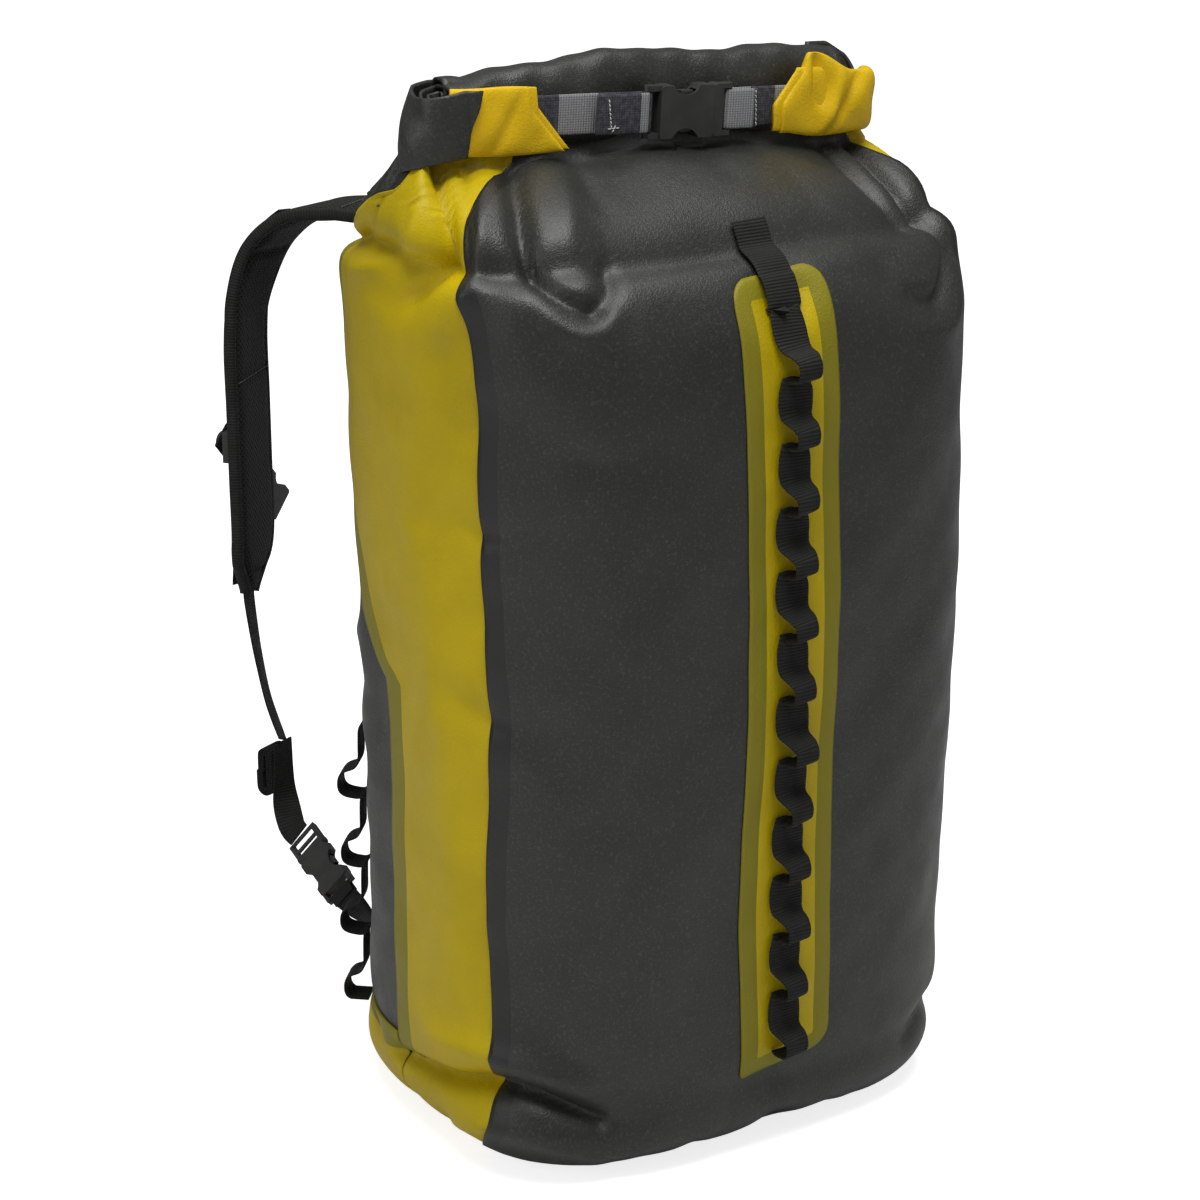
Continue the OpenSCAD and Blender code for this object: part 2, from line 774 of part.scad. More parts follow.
rail_w = 20;
rail_from = 0.3;
rail_to = 0.97;
rail_gap = 2.2;
rail_off = pad_t / 2 + web_t / 2 + rail_gap;
module strap_rail(side) {
    shares = steps_between(rail_from, rail_to, 20);
    outs = [for (s = shares) pad_out(s)];
    points = [for (k = [0:len(shares) - 1]) curve(pad_route, shares[k]) + rail_off * outs[k]];
    color(BLACK)
        mirrored(side)
            ribbon(points, [for (s = shares) pad_wide(s)], outs, rail_w, [for (s = shares) web_t]);
}

// ---- Lower buckles ----
hip_origin = [157.5, 160, 110];
hip_yaw = 83.8;
hip_pitch = -27.4;
hip_roll = 60.3;
module on_hip(side) {
    mirrored(side)
        translate(hip_origin)
            rotate([hip_roll, hip_pitch, hip_yaw])
                scale(low_scale)
                    children();
}
function turned(p) =
    let (y1 = p[1] * cos(hip_roll) - p[2] * sin(hip_roll), z1 = p[1] * sin(hip_roll) + p[2] * cos(hip_roll),
         x2 = p[0] * cos(hip_pitch) + z1 * sin(hip_pitch), z2 = -p[0] * sin(hip_pitch) + z1 * cos(hip_pitch))
    [x2 * cos(hip_yaw) - y1 * sin(hip_yaw), x2 * sin(hip_yaw) + y1 * cos(hip_yaw), z2];
function hip(p) = hip_origin + low_scale * turned(p);

tab_turn = 52;
tab_half = 14;
tab_z = band_h + weld_gap + tab_half;
tab_spread = 6;
tab_off = back_out + 2 * weld_gap;
module hip_tab(side) {
    rows = [for (z = steps_between(tab_z - tab_half, tab_z + tab_half, 4)) ["side", z]];
    turns = [for (r = rows) steps_between(tab_turn - tab_spread, tab_turn + tab_spread, 4)];
    color(BLACK)
        mirrored(side)
            panel(rows, turns, tab_off, tab_off + web_t);
}

// A ribbon along a route, which turns from one width direction to another
low_web_w = web_w * low_scale;
low_web_t = web_t * low_scale;
module twisted_web(side, route, wide_a, wide_b, thick_a, thick_b) {
    shares = steps_between(0, 1, 14);
    wides = [for (s = shares) square_to(mix(wide_a, wide_b, s), tangent(route, s))];
    outs = [for (k = [0:len(shares) - 1]) cross(wides[k], tangent(route, shares[k]))];
    thicks = [for (s = shares) mix(thick_a, thick_b, s)];
    mirrored(side)
        ribbon([for (s = shares) curve(route, s)], wides, outs, low_web_w, thicks);
}

// Webbing folded round the buckle's bar, sewn together and run down to the tab
hip_leg = 9;
tab_clear = 4.4;
sewn_l = 3;
module hip_webbing(side) {
    normal = facing(plan_normal(tab_turn));
    tab_end = skin(tab_turn, ["side", tab_z], tab_off + web_t) + tab_clear * normal;
    sewn_end = hip([bar_x - hip_leg + 1, 0, 0]);
    route = [for (s = steps_between(0, 1, 3)) mix(sewn_end, tab_end, s)];
    color(BLACK) {
        on_hip(side)
            translate([bar_x, 0, 0])
                rotate([90, 0, 0]) {
                    folded_webbing(hip_leg, hip_leg);
                    translate([-hip_leg, -turn_r, -web_w / 2])
                        cube([sewn_l, 2 * turn_r, web_w]);
                }
        twisted_web(side, route, -turned([0, 1, 0]), unit(cross(turned([1, 0, 0]), normal)),
            low_scale * (2 * turn_r - 1), 2 * low_web_t);
    }
}

// The spare end of the strap is rolled up flat on itself, and hangs between pad and buckle
tail_yaw = -25;
tail_at = [hang_x + 5.3, hang_y - 28.5, 175];
tail_turns = 4;
tail_core = 1.2;
tail_steps = 24 * tail_turns;
tail_grow = tail_t / 2 - tail_core - low_web_t / 2;
tail_slit = (tail_h - tail_t) / 2;
function tail_point(k, by) =
    let (turn = 360 * tail_turns * k / tail_steps)
    (tail_core + tail_grow * k / tail_steps + by) * [cos(turn), sin(turn)] + [0, tail_slit * sign(sin(turn))];
module rolled_tail(side) {
    color(BLACK)
        mirrored(side)
            translate(tail_at)
                rotate([0, 0, tail_yaw])
                    along_x(low_web_w)
                        polygon(concat([for (k = [0:tail_steps]) tail_point(k, low_web_t / 2)],
                            [for (k = [tail_steps:-1:0]) tail_point(k, -low_web_t / 2)]));
}

// Two lengths of loose webbing meet just above the rolled tail, and run down beside it
web_yaw = -58;
tail_gap = 2;
tail_side = tail_t / 2 + low_web_t / 2 + tail_gap;
function beside_tail(z) =
    [tail_at[0] + tail_side * sin(tail_yaw), tail_at[1] - tail_side * cos(tail_yaw), z];
web_route = [
    [hang_x + 8, hang_y - 6, 298], [hang_x + 7, hang_y - 9.5, 275], [hang_x + 5, hang_y - 12.5, 252],
    [hang_x + 3, hang_y - 21, 224], beside_tail(tail_at[2] + tail_h / 2 + 5)
];
ladder_route = [
    beside_tail(tail_at[2] + tail_h / 2), beside_tail(tail_at[2] - tail_h / 2 + 4),
    hip([ladder_bar_x + 16, 0, 4]), hip([ladder_bar_x + 1, 0, 4.4])
];
module strap_web(side) {
    color(BLACK)
        twisted_web(side, web_route, facing(pad_yaw), facing(web_yaw), low_web_t, low_web_t);
}

module ladder_web(side) {
    color(BLACK)
        twisted_web(side, ladder_route, facing(tail_yaw), -turned([0, 1, 0]), low_web_t, low_web_t);
}

// ---- Chest strap: a slider on each rail, with half a buckle hanging from its post ----
slide_gap = 0.8;
slide_fit = 0.35;
slider_wall = 2.2;
slider_h = 22;
slider_back = rail_gap + web_t / 2 - 0.4;
slider_front = 6.8;
post_r = 3;
knob_r = 7.5;
post_y = 8.6;
chest_yaw = 12;
knob_y = post_y + 3.8;
module on_rail(side) {
    mirrored(side)
        translate([hang_x, hang_y, chest_z])
            rotate([0, 0, pad_yaw])
                translate([0, rail_off, 0])
                    children();
}

module along_y(y, h, r1, r2) {
    translate([0, y, 0])
        rotate([-90, 0, 0])
            cylinder(h = h, r1 = r1, r2 = r2, $fn = FINE);
}

module chest_slider(side) {
    inner_w = rail_w + 2 * slide_gap;
    inner_t = web_t + 2 * slide_fit;
    color(PLASTIC)
        on_rail(side) {
            linear_extrude(slider_h, center = true)
                difference() {
                    translate([-inner_w / 2 - slider_wall, -slider_back])
                        square([inner_w + 2 * slider_wall, slider_back + slider_front]);
                    square([inner_w, inner_t], center = true);
                    translate([-inner_w / 2 + 4, -slider_back - 1])
                        square([inner_w - 8, slider_back + 1]);
                }
            rotate([0, 0, chest_yaw]) {
                along_y(slider_front - 1.6, knob_y - slider_front + 2, post_r, post_r);
                along_y(knob_y, 2, knob_r, knob_r);
                along_y(knob_y + 2, 1.4, knob_r, knob_r - 2);
            }
        }
}

// The webbing's own frame: +X runs along it, away from the post
chest_reach = 46;
chest_end = 9;
chest_near = 12.5;
module on_chest(side) {
    on_rail(side)
        rotate([0, 0, chest_yaw])
            translate([0, post_y, 0])
                rotate([0, 180 - chest_droop, 0])
                    children();
}

module chest_web(side) {
    color(BLACK)
        on_chest(side)
            difference() {
                translate([chest_reach, 0, 0])
                    scale(chest_scale)
                        folded_webbing((chest_reach + chest_end) / chest_scale, chest_near / chest_scale);
                translate([0, -1, 0])
                    rotate([-90, 0, 0])
                        cylinder(h = 10, r = post_r + clear, $fn = FINE);
            }
}

module on_chest_buckle(side, bar) {
    on_chest(side)
        translate([chest_reach, 0, 0])
            rotate([90, bar > 0 ? 180 : 0, 0])
                scale(chest_scale)
                    translate([-bar, 0, 0])
                        children();
}

front_panel();
back_panel();
side_panel_left();
side_panel_right();
base_panel();
base_band();
roll_collar();
lip_stiffener();
roll_bend(LEFT);  // roll_bend_left
roll_bend(RIGHT);  // roll_bend_right
roll_end(LEFT, cuff_left);  // roll_end_left
roll_end(RIGHT, cuff_right);  // roll_end_right
mouth_webbing_left();
mouth_webbing_right();
on_mouth() buckle_body();  // mouth_buckle
on_mouth() plug_core([plug_bar_x]);  // mouth_plug
on_mouth() prong(RIGHT);  // mouth_prong_upper
on_mouth() prong(LEFT);  // mouth_prong_lower
lash_patch();
lash_webbing();
back_daisy(LEFT);  // back_daisy_left
back_daisy(RIGHT);  // back_daisy_right
yoke_patch();
anchor_tab(LEFT);  // anchor_tab_left
anchor_tab(RIGHT);  // anchor_tab_right
anchor_ring(LEFT);  // anchor_ring_left
anchor_ring(RIGHT);  // anchor_ring_right
strap_loop(LEFT);  // strap_loop_left
strap_loop(RIGHT);  // strap_loop_right
strap_pad(LEFT);  // strap_pad_left
strap_pad(RIGHT);  // strap_pad_right
strap_rail(LEFT);  // strap_rail_left
strap_rail(RIGHT);  // strap_rail_right
strap_web(LEFT);  // strap_web_left
strap_web(RIGHT);  // strap_web_right
ladder_web(LEFT);  // ladder_web_left
ladder_web(RIGHT);  // ladder_web_right
rolled_tail(LEFT);  // rolled_tail_left
rolled_tail(RIGHT);  // rolled_tail_right
hip_tab(LEFT);  // hip_tab_left
hip_tab(RIGHT);  // hip_tab_right
hip_webbing(LEFT);  // hip_webbing_left
hip_webbing(RIGHT);  // hip_webbing_right
on_hip(LEFT) buckle_body();  // hip_buckle_left
on_hip(RIGHT) buckle_body();  // hip_buckle_right
on_hip(LEFT) plug_core([plug_bar_x, ladder_bar_x]);  // hip_plug_left
on_hip(RIGHT) plug_core([plug_bar_x, ladder_bar_x]);  // hip_plug_right
on_hip(LEFT) prong(RIGHT);  // hip_prong_left_upper
on_hip(LEFT) prong(LEFT);  // hip_prong_left_lower
on_hip(RIGHT) prong(RIGHT);  // hip_prong_right_upper
on_hip(RIGHT) prong(LEFT);  // hip_prong_right_lower
chest_slider(LEFT);  // chest_slider_left
chest_slider(RIGHT);  // chest_slider_right
chest_web(LEFT);  // chest_web_left
chest_web(RIGHT);  // chest_web_right
on_chest_buckle(LEFT, bar_x) buckle_body();  // chest_buckle
on_chest_buckle(RIGHT, plug_bar_x) plug_core([plug_bar_x]);  // chest_plug
on_chest_buckle(RIGHT, plug_bar_x) prong(RIGHT);  // chest_prong_upper
on_chest_buckle(RIGHT, plug_bar_x) prong(LEFT);  // chest_prong_lower
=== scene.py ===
import json
import math
from functools import lru_cache

import bmesh
import bpy
import numpy as np
from bpy.props import FloatProperty, FloatVectorProperty, IntProperty, PointerProperty
from mathutils import Matrix, Vector

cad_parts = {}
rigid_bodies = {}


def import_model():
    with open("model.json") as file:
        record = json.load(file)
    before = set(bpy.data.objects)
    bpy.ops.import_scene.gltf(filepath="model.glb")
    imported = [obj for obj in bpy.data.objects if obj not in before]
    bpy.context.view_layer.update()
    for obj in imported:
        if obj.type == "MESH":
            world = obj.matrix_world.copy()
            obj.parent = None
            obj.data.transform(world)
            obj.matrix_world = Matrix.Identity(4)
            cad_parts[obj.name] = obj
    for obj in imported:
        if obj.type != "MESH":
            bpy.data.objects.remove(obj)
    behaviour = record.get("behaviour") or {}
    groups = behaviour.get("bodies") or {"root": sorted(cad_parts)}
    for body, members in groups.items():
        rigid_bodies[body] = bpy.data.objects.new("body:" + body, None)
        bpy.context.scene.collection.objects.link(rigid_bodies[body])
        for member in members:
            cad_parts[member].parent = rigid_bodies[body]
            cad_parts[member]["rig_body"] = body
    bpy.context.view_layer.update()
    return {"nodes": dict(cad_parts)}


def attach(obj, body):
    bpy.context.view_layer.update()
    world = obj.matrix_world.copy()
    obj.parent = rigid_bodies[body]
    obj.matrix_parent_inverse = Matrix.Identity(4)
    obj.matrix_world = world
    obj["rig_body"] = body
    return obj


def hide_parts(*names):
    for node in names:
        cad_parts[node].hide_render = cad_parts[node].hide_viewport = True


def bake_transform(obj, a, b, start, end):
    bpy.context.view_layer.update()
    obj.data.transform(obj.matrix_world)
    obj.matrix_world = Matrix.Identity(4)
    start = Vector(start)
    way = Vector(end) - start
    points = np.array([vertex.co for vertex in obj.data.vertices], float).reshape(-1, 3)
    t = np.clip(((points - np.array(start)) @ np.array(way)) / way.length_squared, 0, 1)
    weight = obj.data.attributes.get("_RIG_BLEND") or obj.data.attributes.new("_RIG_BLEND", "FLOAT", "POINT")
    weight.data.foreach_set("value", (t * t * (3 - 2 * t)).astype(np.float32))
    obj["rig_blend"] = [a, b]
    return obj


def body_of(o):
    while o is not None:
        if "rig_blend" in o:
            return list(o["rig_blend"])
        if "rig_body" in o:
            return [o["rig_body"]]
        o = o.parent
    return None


bl_info = {
    "name": "Roll-top pack sack",
    "version": (1, 0, 0),
    "blender": (4, 5, 0),
    "location": "View3D > Sidebar > Pack Sack",
    "description": "Builds a roll-top waterproof pack sack around its packed frame",
    "category": "Add Mesh",
}

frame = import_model()

MM = 0.001
SIDES = {"right": 1, "left": -1}


# ---- Settings ----
def length(name, description, default):
    return FloatProperty(name=name, description=description, default=default, unit="LENGTH", precision=4)


def angle(name, description, degrees):
    return FloatProperty(name=name, description=description, default=math.radians(degrees), subtype="ANGLE")


def colour(name, description, default):
    return FloatVectorProperty(
        name=name, description=description, default=default, subtype="COLOR", size=3, min=0, max=1)


class SackShape(bpy.types.PropertyGroup):
    """The filled sack"""

    top_width: length("Top width", "Width of the filled sack at the top", 0.378)
    foot_width: length("Foot width", "Width of the filled sack at the bottom", 0.358)
    depth: length("Depth", "Depth of the filled sack", 0.284)
    neck_height: length("Neck height", "Height of the flat neck", 0.644)
    base_thickness: length("Base thickness", "Thickness of the base panel", 0.002)
    base_radius: length("Base radius", "Radius of the bottom edge", 0.040)
    squareness: FloatProperty(name="Squareness", description="2 is an ellipse", default=3.4)
    taper: length("Taper", "Height over which the depth closes", 0.190)
    gather: length("Gather", "Height over which the width closes", 0.052)
    neck_width: length("Neck width", "Width of the flat neck", 0.345)
    neck_depth: length("Neck depth", "Depth of the flat neck", 0.032)
    lean: angle("Lean", "How far the mouth leans down to the right", 3.5)
    shift: length("Shift", "How far the mouth sits to the left", 0.009)
    fabric: length("Fabric", "Thickness of the coated fabric", 0.0015)
    weld_gap: length("Weld gap", "Gap between two welded layers", 0.0003)
    lap: angle("Lap", "Width of a welded lap round the sack", 7)
    band_height: length("Band height", "Height of the band below the back panel", 0.070)
    grain: length("Grain", "Spacing of the skin's mesh", 0.0032)


class StrapShape(bpy.types.PropertyGroup):
    """Webbing, buckles and shoulder straps"""

    web_width: length("Webbing width", "Width of the webbing", 0.025)
    web_thickness: length("Webbing thickness", "Thickness of the webbing", 0.0016)
    bar_radius: length("Bar radius", "Radius of a buckle's bar", 0.002)
    clearance: length("Clearance", "Running clearance round a bar", 0.0001)
    patch_width: length("Patch width", "Width of the welded patch", 0.069)
    patch_centre: length("Patch centre", "Middle of the patch, to the right", 0.008)
    patch_low: length("Patch foot", "Height of the foot of the patch", 0.064)
    patch_drop: length("Patch drop", "How far the patch stops below the neck", 0.057)
    front_loops: IntProperty(name="Front loops", description="Loops in the front strip", default=13)
    front_stand: length("Front stand", "How far a front loop stands off", 0.0155)
    back_loops: IntProperty(name="Back loops", description="Loops in a back strip", default=4)
    back_pitch: length("Back pitch", "Spacing of the back loops", 0.051)
    back_stand: length("Back stand", "How far a back loop stands off", 0.017)
    pad_width: length("Pad width", "Width of the shoulder pad", 0.057)
    pad_thickness: length("Pad thickness", "Thickness of the shoulder pad", 0.011)
    low_scale: FloatProperty(name="Lower scale", description="Lower buckles' size", default=0.78)
    tail_height: length("Tail height", "Height of the rolled tail", 0.038)
    tail_thickness: length("Tail thickness", "Thickness of the rolled tail", 0.015)
    chest_height: length("Chest height", "Height of the chest buckle's slider", 0.408)
    chest_scale: FloatProperty(name="Chest scale", description="Chest buckle's size", default=0.78)


class SackColours(bpy.types.PropertyGroup):
    """Colours of the cloths and plastics"""

    charcoal: colour("Charcoal", "Coated fabric, front and back", (0.025, 0.026, 0.022))
    charcoal_weld: colour("Charcoal weld", "Charcoal over a weld", (0.015, 0.016, 0.014))
    yellow: colour("Yellow", "Coated fabric, sides", (0.560, 0.415, 0.003))
    olive: colour("Olive", "Yellow welded over charcoal", (0.270, 0.235, 0.014))
    webbing: colour("Webbing", "Black webbing", (0.010, 0.010, 0.009))
    # painted highlight: the lighter tint painted on the crowns of the webbing's ribs
    webbing_rib: colour("Webbing rib", "Crowns of the webbing's ribs", (0.021, 0.021, 0.019))
    stripe_dark: colour("Dark stripe", "Dark stripe of the mouth webbing", (0.050, 0.048, 0.062))
    stripe_pale: colour("Pale stripe", "Reflective stripe of the mouth webbing", (0.330, 0.335, 0.340))
    # partly painted light: the folded ends are a brighter copy of the side yellow, for the light on their
    # tops, and also a little more orange
    cuff: colour("Cuff", "Coated fabric, folded ends", (0.780, 0.500, 0.008))
    thread: colour("Thread", "Pale sewing thread", (0.72, 0.72, 0.66))
    dark_thread: colour("Dark thread", "Dark sewing thread", (0.045, 0.045, 0.042))
    grey_thread: colour("Grey thread", "Sewing thread across the pads", (0.16, 0.16, 0.15))
    pad: colour("Pad", "Mesh of the shoulder pads", (0.009, 0.009, 0.008))
    plastic: colour("Plastic", "Moulded buckles", (0.031, 0.031, 0.029))
    lip: colour("Lip", "Stiff strip in the mouth", (0.10, 0.10, 0.10))


class StageSettings(bpy.types.PropertyGroup):
    """Camera and lamps"""

    turn: angle("Turn", "Which way the camera looks, from the front", 32)
    tilt: angle("Tilt", "How far the camera looks down", 19.5)
    distance: length("Distance", "Camera to the sack's middle, on the level", 2.0)
    camera_height: length("Camera height", "Height of the camera", 1.050)
    sideways: length("Sideways", "How far the camera stands to the side", -0.033)
    lens: FloatProperty(name="Lens", description="Focal length in millimetres", default=95.6)


def shape():
    return bpy.context.scene.sack_shape


def straps():
    return bpy.context.scene.strap_shape


def colours():
    return bpy.context.scene.sack_colours


# ---- Small sums ----
def steps_between(start, end, count):
    return np.linspace(start, end, count + 1)


def smooth_step(value, low, high):
    share = np.clip((value - low) / (high - low), 0, 1)
    return share * share * (3 - 2 * share)


def signed_power(value, power):
    return np.sign(value) * np.abs(value) ** power


def unit(vectors):
    vectors = np.asarray(vectors, float)
    return vectors / np.maximum(np.linalg.norm(vectors, axis=-1, keepdims=True), 1e-12)


def curve(route, share):
    """Point of a smooth curve through the route's points, at a share of its way (Catmull-Rom)."""
    last = len(route) - 1
    k = min(last - 1, int(share * last))
    t = share * last - k
    a, b, c, d = (route[max(0, k - 1)], route[k], route[k + 1], route[min(last, k + 2)])
    return 0.5 * (2 * b + (c - a) * t + (2 * a - 5 * b + 4 * c - d) * t * t
                  + (3 * b - a - 3 * c + d) * t ** 3)


def smooth_route(points, count):
    points = np.asarray(points, float)
    return np.array([curve(points, share) for share in steps_between(0, 1, count)])


def tangents(route):
    return unit(np.gradient(route, axis=0))


def square_to(wides, route):
    """The width directions, made square to the route."""
    along = tangents(route)
    wides = np.broadcast_to(np.asarray(wides, float), along.shape)
    return unit(wides - np.sum(wides * along, axis=1, keepdims=True) * along)


def distances(route):
    return np.concatenate([[0], np.cumsum(np.linalg.norm(np.diff(route, axis=0), axis=1))])


def facing(degrees):
    return np.array([math.cos(math.radians(degrees)), math.sin(math.radians(degrees)), 0.0])


def ripple(across, along, waves):
    """A soft unevenness: each wave is its height, its two wavelengths and its start."""
    return sum(
        height * np.sin(2 * np.pi * (across / wide + along / tall) + start)
        for height, wide, tall, start in waves)


# ---- Making meshes ----
def sheet_mesh(columns, rows, place, weave=None, marks=None):
    """A sheet whose points go where place(u, v) says, with u and v from 0 to 1."""
    bm = bmesh.new()
    bmesh.ops.create_grid(bm, x_segments=columns, y_segments=rows, size=1)
    corners = np.array([vert.co[:2] for vert in bm.verts])
    low, high = corners.min(0), corners.max(0)
    u, v = ((corners - low) / (high - low)).T
    points = place(u, v)
    across, along = weave(u, v) if weave else (u, v)
    layer = bm.loops.layers.uv.verify()
    for vert, point in zip(bm.verts, points):
        vert.co = point
    for face in bm.faces:
        face.smooth = True
        for loop in face.loops:
            loop[layer].uv = (across[loop.vert.index], along[loop.vert.index])
    for name, values in (marks(u, v) if marks else {}).items():
        mark = bm.verts.layers.float.new(name)
        for vert, value in zip(bm.verts, values):
            vert[mark] = value
    return bm


def close_tube(bm):
    """Joins the first and last columns of a sheet that meets itself, and caps its ends."""
    bmesh.ops.remove_doubles(bm, verts=bm.verts, dist=1e-6)
    open_edges = [edge for edge in bm.edges if edge.is_boundary]
    if open_edges:
        bmesh.ops.holes_fill(bm, edges=open_edges, sides=0)
    bmesh.ops.recalc_face_normals(bm, faces=bm.faces)
    return bm


def flat_section(width, thickness, points=16):
    """A rounded flat section: places across and through for each share round it."""
    turn = steps_between(0, 2 * np.pi, points)
    across = width / 2 * signed_power(np.cos(turn), 0.35)
    through = thickness / 2 * signed_power(np.sin(turn), 0.55)
    return across, through


def swept_mesh(route, wides, section, scale=None):
    """A closed solid swept along a route. The section is (across, through) in metres."""
    wides = square_to(wides, route)
    outs = np.cross(wides, tangents(route))
    across, through = section
    scale = np.ones((len(route), 2)) if scale is None else np.asarray(scale, float)
    count, last = len(across) - 1, len(route) - 1
    run = distances(route)

    def pick(u, v):
        return np.rint(u * count).astype(int), np.rint(v * last).astype(int)

    def place(u, v):
        i, j = pick(u, v)
        return (route[j] + (across[i] * scale[j, 0])[:, None] * wides[j]
                + (through[i] * scale[j, 1])[:, None] * outs[j])

    def weave(u, v):
        i, j = pick(u, v)
        return across[i] * scale[j, 0], run[j]

    return close_tube(sheet_mesh(count, last, place, weave))


def ribbon_mesh(route, wides, width, thickness, scale=None):
    return swept_mesh(np.asarray(route, float), wides, flat_section(width, thickness), scale)


def thread_mesh(route, radius, wides):
    turn = steps_between(0, 2 * np.pi, 8)
    return swept_mesh(np.asarray(route, float), wides, (radius * np.cos(turn), radius * np.sin(turn)))


def joined(meshes):
    """One bmesh that holds them all."""
    whole = bmesh.new()
    for bm in meshes:
        part = bpy.data.meshes.new("part")
        bm.to_mesh(part)
        bm.free()
        whole.from_mesh(part)
        bpy.data.meshes.remove(part)
    return whole


def turned(degrees, axis):
    return Matrix.Rotation(math.radians(degrees), 4, axis)


def moved(bm, matrix):
    bmesh.ops.transform(bm, matrix=matrix, verts=bm.verts)
    return bm


def mirrored(bm, side):
    if side < 0:
        bmesh.ops.scale(bm, vec=(-1, 1, 1), verts=bm.verts)
        bmesh.ops.reverse_faces(bm, faces=bm.faces)
    return bm


INWARDS, BOTH_WAYS = -1, 0


def placed(name, mesh):
    """A new object in the scene, at the origin."""
    piece = bpy.data.objects.new(name, mesh)
    bpy.context.scene.collection.objects.link(piece)
    return piece


def mesh_from(name, bm):
    mesh = bpy.data.meshes.new(name)
    bm.to_mesh(mesh)
    bm.free()
    return mesh


def make_piece(name, bm, material, body, slot, replaces=(), wall=None, grows=INWARDS, bevel=None):
    """An object from a bmesh, riding on a body. wall is a thickness, and grows is the way it goes."""
    piece = placed(name, mesh_from(name, bm))
    piece.data.materials.append(material)
    if wall:
        solidify = piece.modifiers.new("Wall", "SOLIDIFY")
        solidify.thickness = wall
        solidify.offset = grows
    if bevel:
        soften = piece.modifiers.new("Edges", "BEVEL")
        soften.width = bevel
        soften.segments = 2
        soften.limit_method = "ANGLE"
    if body:
        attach(piece, body)
    if replaces:
        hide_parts(*replaces)
    return piece


# ---- Materials ----
RANGE_ENDS = ("From Min", "From Max", "To Min", "To Max")
DIAMOND = 0.0042


class Finish:
    """A material and short ways to add its nodes."""

    def __init__(self, name, roughness, **sockets):
        self.material = bpy.data.materials.new(name)
        self.material.use_nodes = True
        self.nodes = self.material.node_tree.nodes
        self.links = self.material.node_tree.links
        self.shader = self.nodes["Principled BSDF"]
        self.shader.inputs["Roughness"].default_value = roughness
        for socket, value in sockets.items():
            self.shader.inputs[socket.replace("_", " ")].default_value = value
        self.place = self.nodes.new("ShaderNodeTexCoord")

    def value(self, kind, source, *numbers):
        """A Math node: kind of sum, first input, then the other inputs."""
        node = self.nodes.new("ShaderNodeMath")
        node.operation = kind
        for k, item in enumerate((source, *numbers)):
            if isinstance(item, (int, float)):
                node.inputs[k].default_value = item
            else:
                self.links.new(item, node.inputs[k])
        return node.outputs[0]

    def noise(self, scale, detail=3, roughness=0.55):
        node = self.nodes.new("ShaderNodeTexNoise")
        node.inputs["Scale"].default_value = scale
        node.inputs["Detail"].default_value = detail
        node.inputs["Roughness"].default_value = roughness
        self.links.new(self.place.outputs["Object"], node.inputs["Vector"])
        return node.outputs["Fac"]

    def cells(self, scale):
        node = self.nodes.new("ShaderNodeTexVoronoi")
        node.inputs["Scale"].default_value = scale
        self.links.new(self.place.outputs["Object"], node.inputs["Vector"])
        return node.outputs["Distance"]

    def mark(self, name):
        node = self.nodes.new("ShaderNodeAttribute")
        node.attribute_name = name
        return node.outputs["Fac"]

    def weave(self):
        """The piece's own map: metres across the cloth, and metres along it."""
        node = self.nodes.new("ShaderNodeSeparateXYZ")
        self.links.new(self.place.outputs["UV"], node.inputs[0])
        return node.outputs[0], node.outputs[1]

    def between(self, source, low, high, out_low=0.0, out_high=1.0):
        node = self.nodes.new("ShaderNodeMapRange")
        node.interpolation_type = "SMOOTHSTEP"
        self.links.new(source, node.inputs["Value"])
        for socket, number in zip(RANGE_ENDS, (low, high, out_low, out_high)):
            node.inputs[socket].default_value = number
        return node.outputs["Result"]

    def blend(self, share, first, second):
        node = self.nodes.new("ShaderNodeMix")
        node.data_type = "RGBA"
        for socket, item in ((node.inputs[0], share), (node.inputs[6], first), (node.inputs[7], second)):
            if isinstance(item, (int, float)):
                socket.default_value = item
            elif hasattr(item, "is_linked"):
                self.links.new(item, socket)
            else:
                socket.default_value = (*item, 1)
        return node.outputs[2]

    def stripes(self, source, stops):
        """Bands of flat colour along a value: each stop is a place and a colour."""
        node = self.nodes.new("ShaderNodeValToRGB")
        ramp = node.color_ramp
        ramp.interpolation = "CONSTANT"
        ramp.elements.remove(ramp.elements[1])
        for k, (place, tint) in enumerate(stops):
            element = ramp.elements[0] if k == 0 else ramp.elements.new(place)
            element.position = place
            element.color = (*tint, 1)
        self.links.new(source, node.inputs["Fac"])
        return node.outputs["Color"]

    def bump(self, height, strength, distance, under=None):
        node = self.nodes.new("ShaderNodeBump")
        node.inputs["Strength"].default_value = strength
        node.inputs["Distance"].default_value = distance
        self.links.new(height, node.inputs["Height"])
        if under:
            self.links.new(under, node.inputs["Normal"])
        return node.outputs["Normal"]

    def done(self, base, roughness=None, normal=None):
        self.links.new(base, self.shader.inputs["Base Color"])
        if roughness:
            self.links.new(roughness, self.shader.inputs["Roughness"])
        if normal:
            self.links.new(normal, self.shader.inputs["Normal"])
        return self.material


def lighter(tint, share):
    return tuple(min(1.0, channel * share) for channel in tint)


